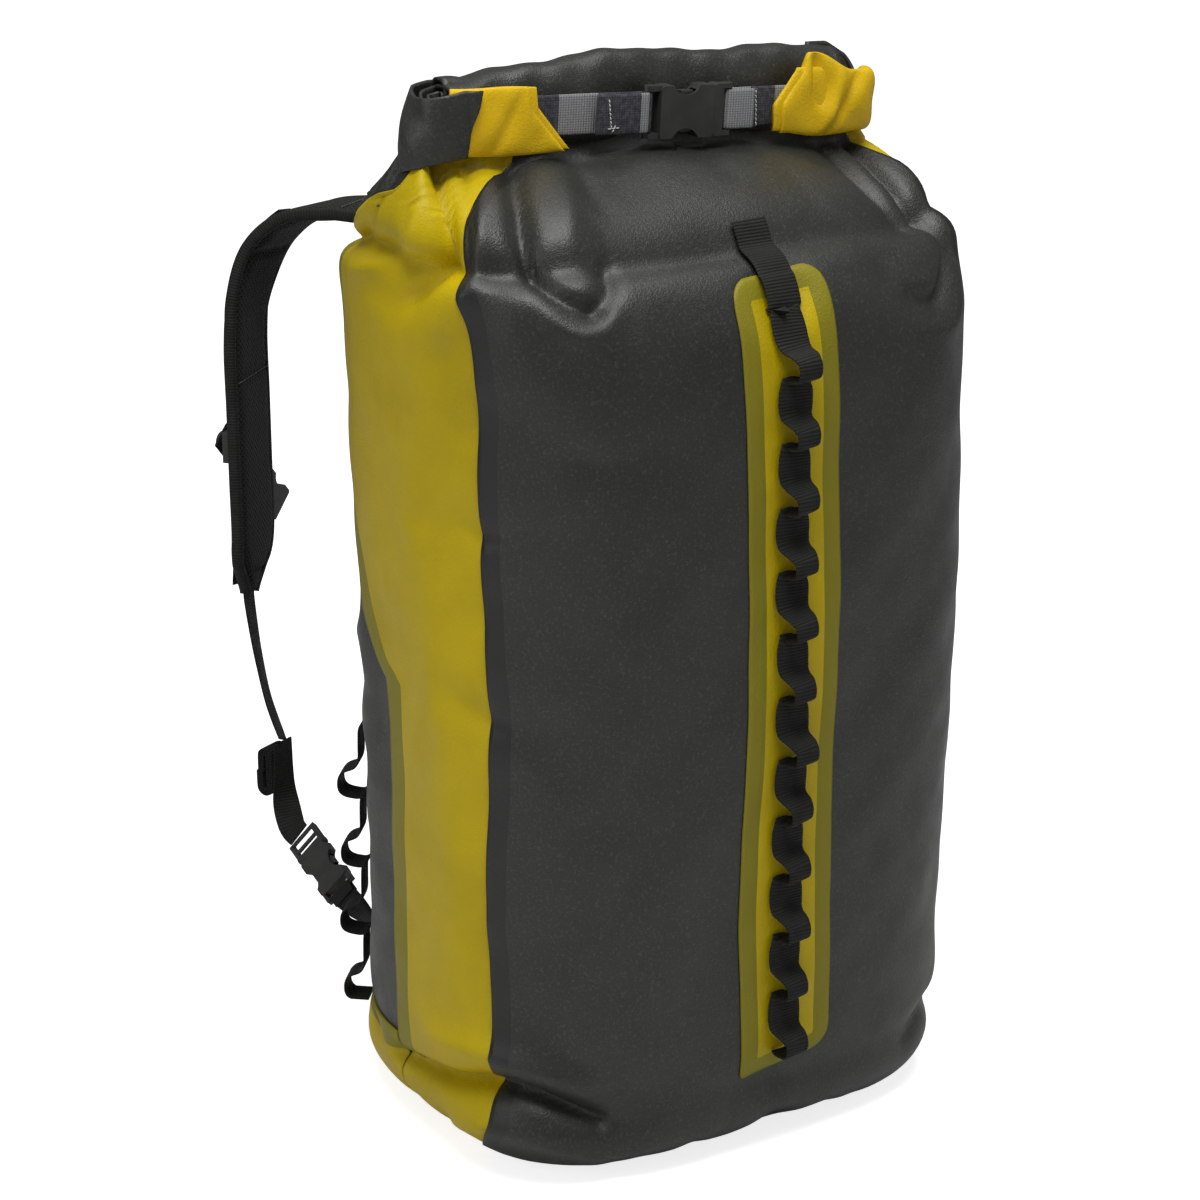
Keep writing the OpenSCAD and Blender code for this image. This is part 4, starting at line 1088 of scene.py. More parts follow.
class PACKSACK_OT_roll(bpy.types.Operator):
    """Builds the rolled mouth with its folded ends"""

    bl_idname = "packsack.roll"
    bl_label = "Rolled mouth"

    def execute(self, context):
        self.roll()
        for name, side in SIDES.items():
            self.bend(name, side)
        self.left_cuff()
        self.right_cuff()
        self.lip()
        return {"FINISHED"}

    def roll(self):
        layer = 0.0030
        lead = 0.09

        def place(u, v):
            x = (u - 0.5) * ROLL_WIDTH
            share = np.clip((v - lead) / (1 - lead), 0, 1)
            turn = 2 * np.pi * ROLL_TURNS * share
            wide = (ROLL_DEPTH - layer) / 2 * (1 - share) + 0.0035 * share
            tall = (ROLL_HEIGHT - layer) / 2 * (1 - share) + 0.0125 * share
            out = ripple(x, turn / (2 * np.pi) * 0.12, ROLL_WAVES)
            outer = 1 - smooth_step(turn, 5.5, 7.5)
            swell = 0.0050 * np.exp(-((x + 0.035) / 0.075) ** 2) * outer
            y = (wide + out) * signed_power(np.cos(turn), 0.72)
            z = (tall + out) * signed_power(np.sin(turn), 0.72)
            z = z + swell * np.clip(np.sin(turn), 0, 1)
            end = smooth_step(np.abs(x), 0.112, 0.146) * outer
            crest = np.interp(x, CREST_PLACES, CREST_RISES)
            z = z + crest * outer * np.clip(np.sin(turn), 0, 1)
            y = y - 0.0025 * end * np.clip(-np.cos(turn), 0, 1)
            # it starts down at the back of the neck
            start = np.clip(1 - v / lead, 0, 1)
            y = y - start * 0.003
            z = z - start * 0.0265
            return np.stack([x, y, z], -1)

        bm = sheet_mesh(84, 120, place, lambda u, v: (u * ROLL_WIDTH, v * 0.30), no_weld)
        bmesh.ops.reverse_faces(bm, faces=bm.faces)
        charcoal_piece("roll_collar", moved(bm, roll_frame()), wall=COLLAR_WALL, grows=BOTH_WAYS)

    def bend(self, name, side):
        """Three layers of cloth that turn from the roll's end round to the front."""
        layers = []
        highs, lows, radii = BENDS[side]
        for k, (radius, tall) in enumerate(zip(radii, BEND_SCALES)):
            def place(u, v, radius=radius, tall=tall, k=k):
                arc = np.pi * np.clip((u - 0.12) / 0.62, 0, 1)
                lead = np.clip(0.12 - u, 0, 1) / 0.12
                run = np.clip(u - 0.74, 0, 1) / 0.26
                x = (ROLL_WIDTH / 2 + radius * np.sin(arc) * 1.12 - 0.016 * lead
                     - BEND_REACH * run * (0.15 + 0.85 * v))
                y = BEND_Y + radius * np.cos(arc) + 0.0006 * k
                high = np.interp(arc, BEND_STOPS, highs) * tall
                low = np.interp(arc, BEND_STOPS, lows) * tall
                z = low + (high - low) * v
                wavy = ripple(u * 0.08, v * 0.05,
                              [(0.0014, 0.043, 0.05, 0.7 + 2 * k), (0.0007, 0.019, 0.03, 3.1)])
                pinch = np.sin(arc) * np.sin(np.pi * v)
                x = x + (wavy + 0.0030 * pinch) * np.sin(arc) + 0.005 * np.sin(arc) * (v - 0.5) * side
                y = y + 0.6 * wavy * np.abs(np.cos(arc))
                return np.stack([side * x, y, z], -1)
            layers.append(sheet_mesh(60, 24, place, lambda u, v: (u * 0.09, v * 0.05), no_weld))
        bm = joined(layers)
        if side > 0:
            bmesh.ops.reverse_faces(bm, faces=bm.faces)
        charcoal_piece(f"roll_bend_{name}", moved(bm, roll_frame()), wall=COLLAR_WALL, grows=BOTH_WAYS)

    def fold_path(self, distance):
        """Depth and run of the folded end's middle, a distance past the bend, and its outward way."""
        back = np.minimum(distance, 0) / BEND_RADIUS
        arc = np.pi + back
        x = np.where(distance < 0, BEND_RADIUS * 1.10 * np.sin(arc), -distance)
        y = np.where(distance < 0, BEND_Y + BEND_RADIUS * np.cos(arc), CUFF_Y)
        return x, y, np.sin(arc) * (distance < 0), np.where(distance < 0, np.cos(arc), -1.0)

    def sleeve(self, side, start, end, high, low, thick, dent=None):
        """A flattened sleeve of cloth. high, low and thick give its edges along its run."""
        def place(u, v):
            run = start + (end - start) * v
            x, y, out_x, out_y = self.fold_path(run)
            turn = 2 * np.pi * u
            top, bottom = high(run), low(run)
            through = thick(run) / 2 * signed_power(np.cos(turn), 0.62)
            z = (top + bottom) / 2 + (top - bottom) / 2 * signed_power(np.sin(turn), 0.80)
            crown = 1 + 0.12 * np.cos(np.pi * (z - (top + bottom) / 2) / np.maximum(top - bottom, 1e-4))
            crown = crown + ripple(run, z, [(0.10, 0.052, 0.041, 0.4), (0.07, 0.027, -0.033, 2.0)])
            through = through * crown
            if dent:
                through = through - dent(run, z) * np.clip(np.cos(turn), 0, 1)
            px = ROLL_WIDTH / 2 + x + out_x * through
            py = y + out_y * through
            return np.stack([side * px, py, z], -1)

        bm = sheet_mesh(48, 60, place, lambda u, v: (u * 0.1, v * (end - start)), no_weld)
        close_tube(bm)
        return moved(bm, roll_frame())

    def left_cuff(self):
        def high(run):
            top = 0.0205 - 0.003 * smooth_step(run, -0.02, 0.02) + 0.002 * np.sin(run / 0.02)
            cut = smooth_step(run, 0.0475, 0.0495)
            slant = 0.0065 - np.clip(run - 0.0495, 0, 1) * 1.12
            return top * (1 - cut) + np.minimum(top, slant) * cut

        def low(run):
            return -0.0215 - 0.0015 * np.sin(np.pi * np.clip(run / 0.07, 0, 1))

        def thick(run):
            return 0.0080 - 0.0030 * smooth_step(run, 0.03, 0.07)

        outer = self.sleeve(-1, -0.006, 0.0740, high, low, thick,
                            lambda run, z: 0.0012 * np.exp(-((run - 0.034 - z * 0.5) / 0.005) ** 2))
        inner = self.sleeve(-1, 0.040, 0.0785, lambda run: high(run - 0.0052) - 0.0004,
                            lambda run: low(run) + 0.0012, lambda run: thick(run) - 0.0026)
        yellow_piece("roll_end_left", joined([outer, inner]), lit_cuff_cloth())

    def right_cuff(self):
        def high(run):
            rise = 0.0215 + 0.0120 * smooth_step(run, 0.0, 0.032)
            cut = smooth_step(run, 0.0370, 0.0420)
            slant = 0.0215 - np.clip(run - 0.0420, 0, 1) * 1.35
            return rise * (1 - cut) + np.minimum(rise, slant) * cut

        def low(run):
            return (-0.0185 - 0.002 * np.sin(np.pi * np.clip(run / 0.05, 0, 1))
                    + 0.001 * smooth_step(run, 0.03, 0.05))

        def thick(run):
            return 0.0125 - 0.0055 * smooth_step(run, 0.015, 0.055)

        def dent(run, z):
            hollow = 0.0085 * np.exp(-(np.abs(run - 0.028 - 0.10 * z) / 0.0045) ** 1.6)
            hollow = hollow * smooth_step(z, -0.006, 0.014)
            return (hollow + 0.0034 * np.exp(-((run - 0.010 + 0.55 * z) / 0.0042) ** 2)
                    - 0.0030 * np.exp(-((run - 0.019 + 0.30 * z) / 0.0050) ** 2))

        outer = self.sleeve(1, -0.022, 0.0560, high, low, thick, dent)
        inner = self.sleeve(1, 0.022, 0.0615, lambda run: np.minimum(high(run - 0.0050) - 0.0008, 0.024),
                            lambda run: low(run) + 0.0014, lambda run: thick(run) - 0.0032)
        yellow_piece("roll_end_right", joined([outer, inner]), lit_cuff_cloth())

    def lip(self):
        bm = bmesh.new()
        bmesh.ops.create_cube(bm, size=1)
        bmesh.ops.scale(bm, vec=(ROLL_WIDTH - 0.010, 0.002, 0.020), verts=bm.verts)
        bmesh.ops.bevel(bm, geom=bm.edges[:], offset=0.0006, offset_type="OFFSET", segments=2,
                        profile=0.5, affect="EDGES", material=-1)
        make_piece("lip_strip", moved(bm, roll_frame()), moulded("lip plastic", tint("lip")),
                   "sack", "stiffener", ["lip_stiffener"])


# ---- Webbing ----
BODY_LENGTH = 0.040
SLOT = 0.0046
PLUG_BASE = 0.0404
PLUG_BASE_LENGTH = 0.007
MOUTH_BUCKLE_X = 0.017
HALF_BUCKLE = BODY_LENGTH / 2 + 0.002
THREAD_RISE = 1.6


def bar_place():
    return -(SLOT + straps().bar_radius + 0.001)


def plug_bar_place():
    return PLUG_BASE + PLUG_BASE_LENGTH + SLOT + straps().bar_radius


def ladder_bar_place():
    return plug_bar_place() + SLOT + 2 * straps().bar_radius


def bar_turn():
    """How far from a bar's middle the webbing's middle turns."""
    sizes = straps()
    return sizes.bar_radius + sizes.clearance + sizes.web_thickness / 2


def folded_route(far, near, ease=0.0):
    """Webbing that comes from far, turns round a bar at the origin and comes back to near."""
    turn = bar_turn()
    points = [(-far * (1 - s), turn + ease * math.sin(math.pi * s), 0) for s in steps_between(0, 0.98, 20)]
    points += [(turn * math.sin(a), turn * math.cos(a), 0) for a in steps_between(0, math.pi, 14)]
    points += [(-near * s, -turn - ease * 0.6 * math.sin(math.pi * s), 0) for s in steps_between(0.04, 1, 14)]
    return np.array(points)


def mouth_frame(x):
    """The mouth buckle's place: +X along it, with x counted from the buckle's own start."""
    return roll_frame() @ Matrix.Translation((MOUTH_BUCKLE_X - HALF_BUCKLE + x, CUFF_Y, 0))


def stitches(start, end, out, count, radius=0.00032, lift=0.0002):
    """Short threads in a row from start to end, each a slim tube."""
    start, end, out = np.array(start, float), np.array(end, float), np.array(out, float)
    rows = []
    for k in range(count):
        a = start + (end - start) * (k + 0.12) / count
        b = start + (end - start) * (k + 0.88) / count
        over = out * lift * THREAD_RISE
        route = [a - out * lift, a * 0.7 + b * 0.3 + over, a * 0.3 + b * 0.7 + over, b - out * lift]
        rows.append(thread_mesh(np.array(route), radius, np.cross(out, end - start)))
    return joined(rows)


STRIPED_PITCH = 0.0019


class PACKSACK_OT_mouth_strap(bpy.types.Operator):
    """Builds the striped webbing that closes the rolled mouth"""

    bl_idname = "packsack.mouth_strap"
    bl_label = "Mouth webbing"

    def execute(self, context):
        sizes = straps()
        dark, pale = tint("stripe_dark"), tint("stripe_pale")
        thread = sewing_thread("pale thread", tint("thread"))
        turn = bar_turn()
        left_far = ROLL_WIDTH / 2 + MOUTH_BUCKLE_X - HALF_BUCKLE + bar_place() - 0.070 + 0.040
        bar_run = left_far + math.pi * turn / 2
        total = left_far + math.pi * turn + 0.038
        stops = [(0, dark), ((bar_run - 0.0665) / total, pale), ((bar_run - 0.0385) / total, dark),
                 ((bar_run + 0.0045) / total, pale), ((bar_run + 0.0105) / total, dark)]
        left_cloth = woven("striped webbing left", dark, pale, STRIPED_PITCH, (0.0, total, tuple(stops)))
        left = ribbon_mesh(folded_route(left_far, 0.038, 0.0010), (0, 0, 1),
                           sizes.web_width, sizes.web_thickness)
        moved(left, mouth_frame(bar_place()))
        make_piece("mouth_webbing_left_cloth", left, left_cloth, "sack", "grey_webbing",
                   ["mouth_webbing_left"])

        right_far = ROLL_WIDTH / 2 - (MOUTH_BUCKLE_X - HALF_BUCKLE) - plug_bar_place() - 0.052 + 0.016
        total = right_far + math.pi * turn + 0.020
        bar_run = right_far + math.pi * turn / 2
        stops = [(0, pale), ((bar_run - 0.0425) / total, dark), ((bar_run - 0.0235) / total, pale),
                 ((bar_run + 0.0215) / total, dark)]
        right_cloth = woven("striped webbing right", dark, pale, STRIPED_PITCH, (0.0, total, tuple(stops)))
        right = ribbon_mesh(folded_route(right_far, 0.020, 0.0008), (0, 0, 1),
                            sizes.web_width, sizes.web_thickness)
        moved(mirrored(right, -1), mouth_frame(plug_bar_place()))
        make_piece("mouth_webbing_right_cloth", right, right_cloth, "mouth_plug", "grey_webbing",
                   ["mouth_webbing_right"])

        out = (0, -1, 0)
        skin_y = -turn - sizes.web_thickness / 2 - 0.0004
        tack = stitches((-0.0300, skin_y, 0.0095), (-0.0275, skin_y, -0.0090), out, 7, 0.0004)
        bar_tack = stitches((-0.0300, skin_y, -0.0088), (-0.0215, skin_y, -0.0082), out, 3, 0.0004)
        cross = stitches((-0.0268, skin_y, -0.0110), (-0.0245, skin_y, -0.0065), out, 2, 0.0004)
        sewn = moved(joined([tack, bar_tack, cross]), mouth_frame(bar_place()))
        make_piece("mouth_tack_left", sewn, thread, "sack", "grey_webbing")
        line = moved(stitches((0.0178, skin_y, 0.0115), (0.0196, skin_y, -0.0115), out, 8, 0.0003),
                     mouth_frame(plug_bar_place()))
        make_piece("mouth_tack_right", line, thread, "mouth_plug", "grey_webbing")
        return {"FINISHED"}


# How far out a loop stands and how far down it is, as shares of its stand and its pitch
LOOP_SHAPE = [(0.00, 0.00), (0.12, 0.05), (0.15, 0.28), (0.17, 0.48), (0.34, 0.60), (0.78, 0.67),
              (1.00, 0.77), (1.00, 0.92), (0.78, 1.00), (0.28, 1.03), (0.04, 1.01), (0.00, 1.00)]
# How wide the webbing is at each share of the pitch: it draws in where it is pulled out
LOOP_DROPS = [0.0, 0.08, 0.20, 0.36, 0.52, 0.62, 0.74, 1.0]
LOOP_WIDTHS = [0.72, 0.90, 0.99, 1.0, 0.96, 0.84, 0.68, 0.66]
LOOP_STEPS = 55
# How far each front loop stands out and leans over, as shares; the first is nearly flat
LOOP_RISES = [0.22, 1.04, 0.94, 1.06, 0.97, 1.03, 0.92, 1.05, 0.98, 0.93, 1.05, 0.97, 1.0]
LOOP_TILTS = [0.6, -0.4, 0.3, -0.7, 0.5, 0.1, -0.5, 0.7, -0.2, 0.4, -0.6, 0.3, 0.5]
BACK_RISES = (1.0, 0.93, 1.04, 0.96)
BACK_LOOPS_TURN = 37.0
PATCH_CORNER = 0.014
PATCH_SHARP_CORNER = 0.004
PATCH_THICKNESS = 0.0012
PATCH_GAP = 0.0004


def patch_out():
    """How far out of the skin the outside of the welded patch lies."""
    return 2 * shape().fabric + shape().weld_gap + PATCH_GAP + PATCH_THICKNESS


def loop_shape(count):
    """One slack loop: it hangs close to its seat, swells out low down and tucks back."""
    return smooth_route(LOOP_SHAPE, count).T


class PACKSACK_OT_lash_strip(bpy.types.Operator):
    """Builds the welded front patch and its looped webbing"""

    bl_idname = "packsack.lash_strip"
    bl_label = "Lashing strip"

    def execute(self, context):
        self.patch()
        self.webbing()
        return {"FINISHED"}

    def patch(self):
        sizes = straps()
        skin = sack_skin()
        high = skin.top - sizes.patch_drop
        out = patch_out()
        centre, half = sizes.patch_centre, sizes.patch_width / 2

        def rounding(x, corner):
            """How far a round corner draws the patch's end in."""
            reach = np.clip(np.abs(x) - (half - corner), 0, corner)
            return corner - np.sqrt(np.maximum(corner ** 2 - reach ** 2, 0))

        def outline(u, v):
            x = (u - 0.5) * 2 * half
            top = high - rounding(x, PATCH_CORNER) + 0.003 * x / half
            foot_corner = np.where(x < 0, PATCH_SHARP_CORNER, PATCH_CORNER)
            low = sizes.patch_low + rounding(x, foot_corner) + 0.006 * (x / half + 0.4)
            z = low + v * (top - low)
            bow = 0.0016 * np.sin(2 * np.pi * z / 0.31 + 0.5)
            return x + bow, z, np.minimum(np.minimum(half - np.abs(x), top - z), z - low)

        def turn_at(x, z):
            share = np.minimum(1, np.abs(x) / skin.half_width(z))
            return 270 + np.sign(x) * np.degrees(np.arcsin(share ** (shape().squareness / 2)))

        def place(u, v):
            x, z, edge = outline(u, v)
            rounded = 0.0007 * (1 - smooth_step(edge, 0, 0.002))
            dip = 0.0005 * np.exp(-((edge - 0.0125) / 0.0008) ** 2)
            return skin.place(turn_at(x + centre, z), z, out - rounded - dip)

        def marks(u, v):
            edge = outline(u, v)[2]
            return {"weld": band(edge, 0.0125) * (0.85 + 0.15 * band(edge, 0.003))}

        bm = sheet_mesh(40, 200, place, lambda u, v: (u * sizes.patch_width, v * 0.52), marks)
        yellow_piece("lash_patch", bm, wall=PATCH_THICKNESS - 0.0001)

    def webbing(self):
        sizes = straps()
        skin = sack_skin()
        count = sizes.front_loops
        top, low = skin.top - 0.034, sizes.patch_low + 0.014
        pitch = (top - low) / count
        out = patch_out() + sizes.web_thickness / 2 + 0.0006
        loops, widths = [], []
        centre = sizes.patch_centre
        for k in range(count):
            share, drop = loop_shape(LOOP_STEPS)
            width = np.interp(drop, LOOP_DROPS, LOOP_WIDTHS) if k else np.ones(len(drop))
            stand = sizes.front_stand * LOOP_RISES[k % len(LOOP_RISES)] * share
            z = top - pitch * (k + drop)
            seat = skin.place(np.full(drop.shape, 270.0), z, out)
            normal = skin.outward(np.full(drop.shape, 270.0), z)
            route = seat + stand[:, None] * normal
            lean = 0.0008 * LOOP_TILTS[k % len(LOOP_TILTS)] * share
            route[:, 0] = centre + lean - 0.0060 * (width - 0.70) - 0.0022
            loops.append(route if k == 0 else route[1:])
            widths.append(width[0 if k == 0 else 1:])
        route = np.concatenate(loops)
        scale = np.stack([np.concatenate(widths), np.ones(len(route))], -1)
        wides = np.zeros_like(route)
        wides[:, 0] = 1
        way = np.arange(len(route)) / LOOP_STEPS * 2 * np.pi
        wides[:, 1] = 0.05 * np.sin(way * 0.37)
        wides[:, 2] = 0.40 * (1 - scale[:, 0]) + 0.04 * np.cos(way * 0.23)
        webbing_piece("lash_webbing",
                      ribbon_mesh(route, unit(wides), sizes.web_width, sizes.web_thickness, scale))

        tacks = []
        for k in range(1, count):
            z = top - pitch * k
            point = skin.place(np.array([270.0]), np.array([z]), out + sizes.web_thickness / 2 + 0.0002)[0]
            tacks.append(stitches((centre - 0.0100, point[1], point[2] - 0.0003),
                                  (centre + 0.0100, point[1], point[2] - 0.0003), (0, -1, 0), 7, 0.00028))
        make_piece("lash_tacks", joined(tacks), sewing_thread("dark thread", tint("dark_thread")),
                   "sack", "black_webbing")


def plan_normal(skin, turn):
    """Which way the plan of the sack faces at a turn, in degrees."""
    s = skin.sizes
    half_width, half_depth = s.foot_width / 2, s.depth / 2
    x, y = skin.plan(half_width, half_depth, turn)
    power = s.squareness - 1
    out_x = math.copysign((abs(x) / half_width) ** power / half_width, x)
    out_y = (abs(y) / half_depth) ** power / half_depth
    return math.degrees(math.atan2(out_y, out_x))


class PACKSACK_OT_back_loops(bpy.types.Operator):
    """Builds the looped webbing down each back corner"""

    bl_idname = "packsack.back_loops"
    bl_label = "Back loops"

    def execute(self, context):
        sizes = straps()
        skin = sack_skin()
        bearing = plan_normal(skin, BACK_LOOPS_TURN)
        out, wide = facing(bearing), facing(bearing + 90)
        seat = skin.plan(shape().foot_width / 2, shape().depth / 2, BACK_LOOPS_TURN)
        top = skin.foot_z + 0.003 + sizes.back_loops * sizes.back_pitch
        width = sizes.web_width * 0.8
        for name, side in SIDES.items():
            routes = []
            for k in range(sizes.back_loops):
                share, drop = loop_shape(45)
                stand = sizes.back_stand * BACK_RISES[k % len(BACK_RISES)] * share
                z = top - sizes.back_pitch * (k + drop)
                reach = shape().fabric + sizes.web_thickness / 2 + 0.0016 + stand
                z = np.maximum(z, top - sizes.back_pitch * sizes.back_loops)
                route = np.array([seat[0], seat[1], 0]) + reach[:, None] * out
                route[:, 2] = z
                routes.append(route if k == 0 else route[1:])
            webbing_piece(f"back_daisy_{name}",
                          ribbon_mesh(np.concatenate(routes), wide, width, sizes.web_thickness), side)
        return {"FINISHED"}


# ---- Shoulder straps, built on the right and mirrored to the left ----
ANCHOR_X = 0.075
HANG_X = 0.1625
HANG_BACK = 0.1178
PAD_YAW = -40.0
WEB_YAW = -58.0
TAIL_YAW = -25.0
RAIL_WIDTH = 0.020
RAIL_GAP = 0.0022
RING_BAR = 0.0024
PAD_STEPS = 110
EDGE_STEPS = 120
PAD_PUSH = 4.0
PAD_FRAMES = 14
PAD_CAP = 0.0018
# Sewn lines across the pad, as shares of its length, and how much they press it
CHANNELS = (0.16, 0.60, 0.93)
CHANNEL_PRESS = 0.30
CHANNEL_WIDTH = 0.0020
CHANNEL_REACH = 0.05


def ring_middle():
    """The anchor ring's lower and upper bars, as points."""
    skin = sack_skin()
    z = skin.top - 0.076
    y = float(skin.half_depth(np.array(z))) + shape().fabric + 0.006
    return np.array([ANCHOR_X, y, z]), np.array([ANCHOR_X, y + 0.007, z + 0.012])


def hang_y():
    """How far back the straight part of the pad hangs."""
    return ring_middle()[1][1] + HANG_BACK


def rail_lift():
    """How far out of the pad's middle the rail webbing lies."""
    sizes = straps()
    return sizes.pad_thickness / 2 + sizes.web_thickness / 2 + RAIL_GAP


def pad_route():
    root = ring_middle()[1]
    y = hang_y()
    steps = [(5, 16, 2), (17, 36, 2), (34, 62, 1), (55, 89, -6), (73, 108, -28), (84, 116, -62)]
    points = [root + np.array(step) * MM for step in steps]
    points += [(HANG_X, y, z) for z in (0.486, 0.440, 0.390, 0.344)]
    points += [(HANG_X + 0.004, y - 0.002, 0.322), (HANG_X + 0.007, y - 0.005, 0.302)]
    return np.array(points)


def pad_half(share):
    """The pad narrows at both ends."""
    root = 0.55 + 0.45 * smooth_step(share, 0, 0.14)
    tip = 1 - 0.72 * smooth_step(share, 0.84, 1.0) ** 1.3
    return root * tip


def pad_line(count, start=0.0, end=1.0):
    """The pad's middle line with its width and outward directions."""
    points = pad_route()
    shares = steps_between(start, end, count)
    route = np.array([curve(points, share) for share in shares])
    yaws = PAD_YAW * np.minimum(1, shares * 2)
    wides = square_to(np.array([facing(yaw) for yaw in yaws]), route)
    return shares, route, wides, np.cross(wides, tangents(route))


def eye_route(angle_degrees, leg, above, radius):
    """A webbing eye round a bar along X, as depth and height, ending in a leg."""
    way = math.radians(angle_degrees)
    along = np.array([math.cos(way), math.sin(way)])
    side = np.array([-along[1], along[0]]) * (1 if above else -1)
    turn = 1 if above else -1
    points = []
    for share in steps_between(0, 1, 26):
        bend = -turn * math.radians(300) * (1 - share)
        spot = side * math.cos(bend) + np.array([side[1], -side[0]]) * math.sin(bend)
        points.append(radius * spot)
    points += [radius * side + along * leg * share for share in steps_between(0.08, 1, 10)]
    return np.array([(0, y, z) for y, z in points])


class PACKSACK_OT_shoulder_straps(bpy.types.Operator):
    """Builds the padded shoulder straps and what joins them to the sack"""

    bl_idname = "packsack.shoulder_straps"
    bl_label = "Shoulder straps"

    def execute(self, context):
        swollen = self.pad_places()
        for name, side in SIDES.items():
            self.pad(name, side, swollen)
            self.edges(name, side)
            self.rail(name, side)
            self.anchor(name, side)
        return {"FINISHED"}

    def pad_places(self):
        """The pad's mesh, swelled by a short cloth simulation and capped."""
        sizes = straps()
        shares, route, wides, _ = pad_line(PAD_STEPS)
        turn = steps_between(0, 2 * np.pi, 36)
        across = sizes.pad_width / 2 * signed_power(np.cos(turn), 0.50)
        through = (sizes.pad_thickness - 0.0022) / 2 * signed_power(np.sin(turn), 0.62)
        scale = np.stack([pad_half(shares), 0.80 + 0.20 * pad_half(shares)], -1)
        bm = swept_mesh(route, wides, (across, through), scale)
        mesh = mesh_from("pad", bm)
        piece = placed("swelling_pad", mesh)
        start = vertex_places(mesh)
        end = run_cloth(piece, None, PAD_PUSH, 0.0, PAD_FRAMES)
        step = capped(end - start, PAD_CAP)
        mesh.vertices.foreach_set("co", (start + step).astype(np.float32).ravel())
        bpy.data.objects.remove(piece)
        return mesh

    def pad(self, name, side, swollen):
        bm = bmesh.new()
        bm.from_mesh(swollen)
        _, route, _, outs = pad_line(PAD_STEPS)
        ways = tangents(route)
        for channel in CHANNELS:
            spot = int(channel * PAD_STEPS)
            for vert in bm.verts:
                away = np.array(vert.co) - route[spot]
                along = float(away @ ways[spot])
                if abs(along) < 3 * CHANNEL_WIDTH and np.linalg.norm(away) < CHANNEL_REACH:
                    lift = float(away @ outs[spot])
                    press = CHANNEL_PRESS * math.exp(-(along / CHANNEL_WIDTH) ** 2)
                    vert.co -= Vector(outs[spot] * lift * press)
        bm = mirrored(bm, side)
        bmesh.ops.recalc_face_normals(bm, faces=bm.faces)
        for face in bm.faces:
            face.smooth = True
        piece = make_piece(f"strap_pad_{name}_cloth", bm, spacer_mesh("pad mesh", tint("pad")),
                           f"strap_{name}", "pad_fabric", [f"strap_pad_{name}"])

    def edges(self, name, side):
        """Binding tape round both edges of the pad, and its sewn lines."""
        sizes = straps()
        shares, route, wides, outs = pad_line(EDGE_STEPS)
        half = sizes.pad_width / 2 * pad_half(shares)
        tape_turn = steps_between(0, 2 * np.pi, 14)
        tape = (0.0034 * signed_power(np.cos(tape_turn), 0.7), 0.0042 * signed_power(np.sin(tape_turn), 0.7))
        tapes = [swept_mesh(route + edge * (half - 0.0016)[:, None] * wides, wides, tape) for edge in (1, -1)]
        bm = mirrored(joined(tapes), side)
        bmesh.ops.recalc_face_normals(bm, faces=bm.faces)
        make_piece(f"pad_binding_{name}", bm, black_webbing(), f"strap_{name}", "black_webbing")
        rows = []
        for channel in CHANNELS[:2]:
            spot = int(channel * EDGE_STEPS)
            reach = (half[spot] - 0.004) * wides[spot]
            for face in (1, -1):
                seat = route[spot] + face * (sizes.pad_thickness / 2 * 0.86) * outs[spot]
                rows.append(stitches(seat - reach, seat + reach, face * outs[spot], 14, 0.0003))
        make_piece(f"pad_stitches_{name}", mirrored(joined(rows), side),
                   sewing_thread("grey thread", tint("grey_thread")), f"strap_{name}", "black_webbing")

    def rail(self, name, side):
        """The narrow webbing down the pad's outside, which the chest slider runs on."""
        _, route, wides, outs = pad_line(80, 0.3, 0.97)
        rail = ribbon_mesh(route + rail_lift() * outs, wides, RAIL_WIDTH, straps().web_thickness)
        webbing_piece(f"strap_rail_{name}", rail, side, f"strap_{name}")

    def anchor(self, name, side):
        """The tab that comes up from the yoke patch, and the eye of the shoulder strap."""
        sizes = straps()
        lower, upper = ring_middle()
        turn = RING_BAR + sizes.clearance + sizes.web_thickness / 2
        skin = sack_skin()
        drop_z = lower[2] - 0.020
        behind = [float(skin.half_depth(np.array(drop_z + step))) for step in (-0.5 * MM, 0.5 * MM)]
        down = -90 + math.degrees(math.atan((behind[0] - behind[1]) / MM))
        tab = eye_route(down, 0.040, False, turn) + lower
        loop = eye_route(math.degrees(math.atan2(2, 16)), 0.0150, True, turn) + upper
        for node, route, body in ((f"anchor_tab_{name}", tab, "sack"),
                                  (f"strap_loop_{name}", loop, f"strap_{name}")):
            ribbon = ribbon_mesh(route, (1, 0, 0), sizes.web_width, sizes.web_thickness)
            webbing_piece(node, ribbon, side, body)


def hip_frame():
    """The lower buckle's place: +X along it, towards the pad."""
    turns = turned(83.8, "Z") @ turned(-27.4, "Y") @ turned(60.3, "X")
    return Matrix.Translation((0.1575, 0.160, 0.110)) @ turns @ Matrix.Scale(straps().low_scale, 4)


def hip_point(x, y, z):
    return np.array(hip_frame() @ Vector((x, y, z)))


def hip_way(x, y, z):
    return unit(np.array(hip_frame().to_3x3() @ Vector((x, y, z))))


def low_web():
    """Width and thickness of the lower webbing."""
    sizes = straps()
    return sizes.web_width * sizes.low_scale, sizes.web_thickness * sizes.low_scale


TAIL_Z = 0.175
TAB_HEIGHT = 0.028
TAB_TURN = 52.0


def tail_place():
    return np.array([HANG_X + 0.0053, hang_y() - 0.0285, TAIL_Z])


def beside_tail(z):
    """Where the webbing runs down beside the rolled tail."""
    turn = math.radians(TAIL_YAW)
    side = straps().tail_thickness / 2 + low_web()[1] / 2 + 0.002
    x, y, _ = tail_place()
    return np.array([x + side * math.sin(turn), y - side * math.cos(turn), z])


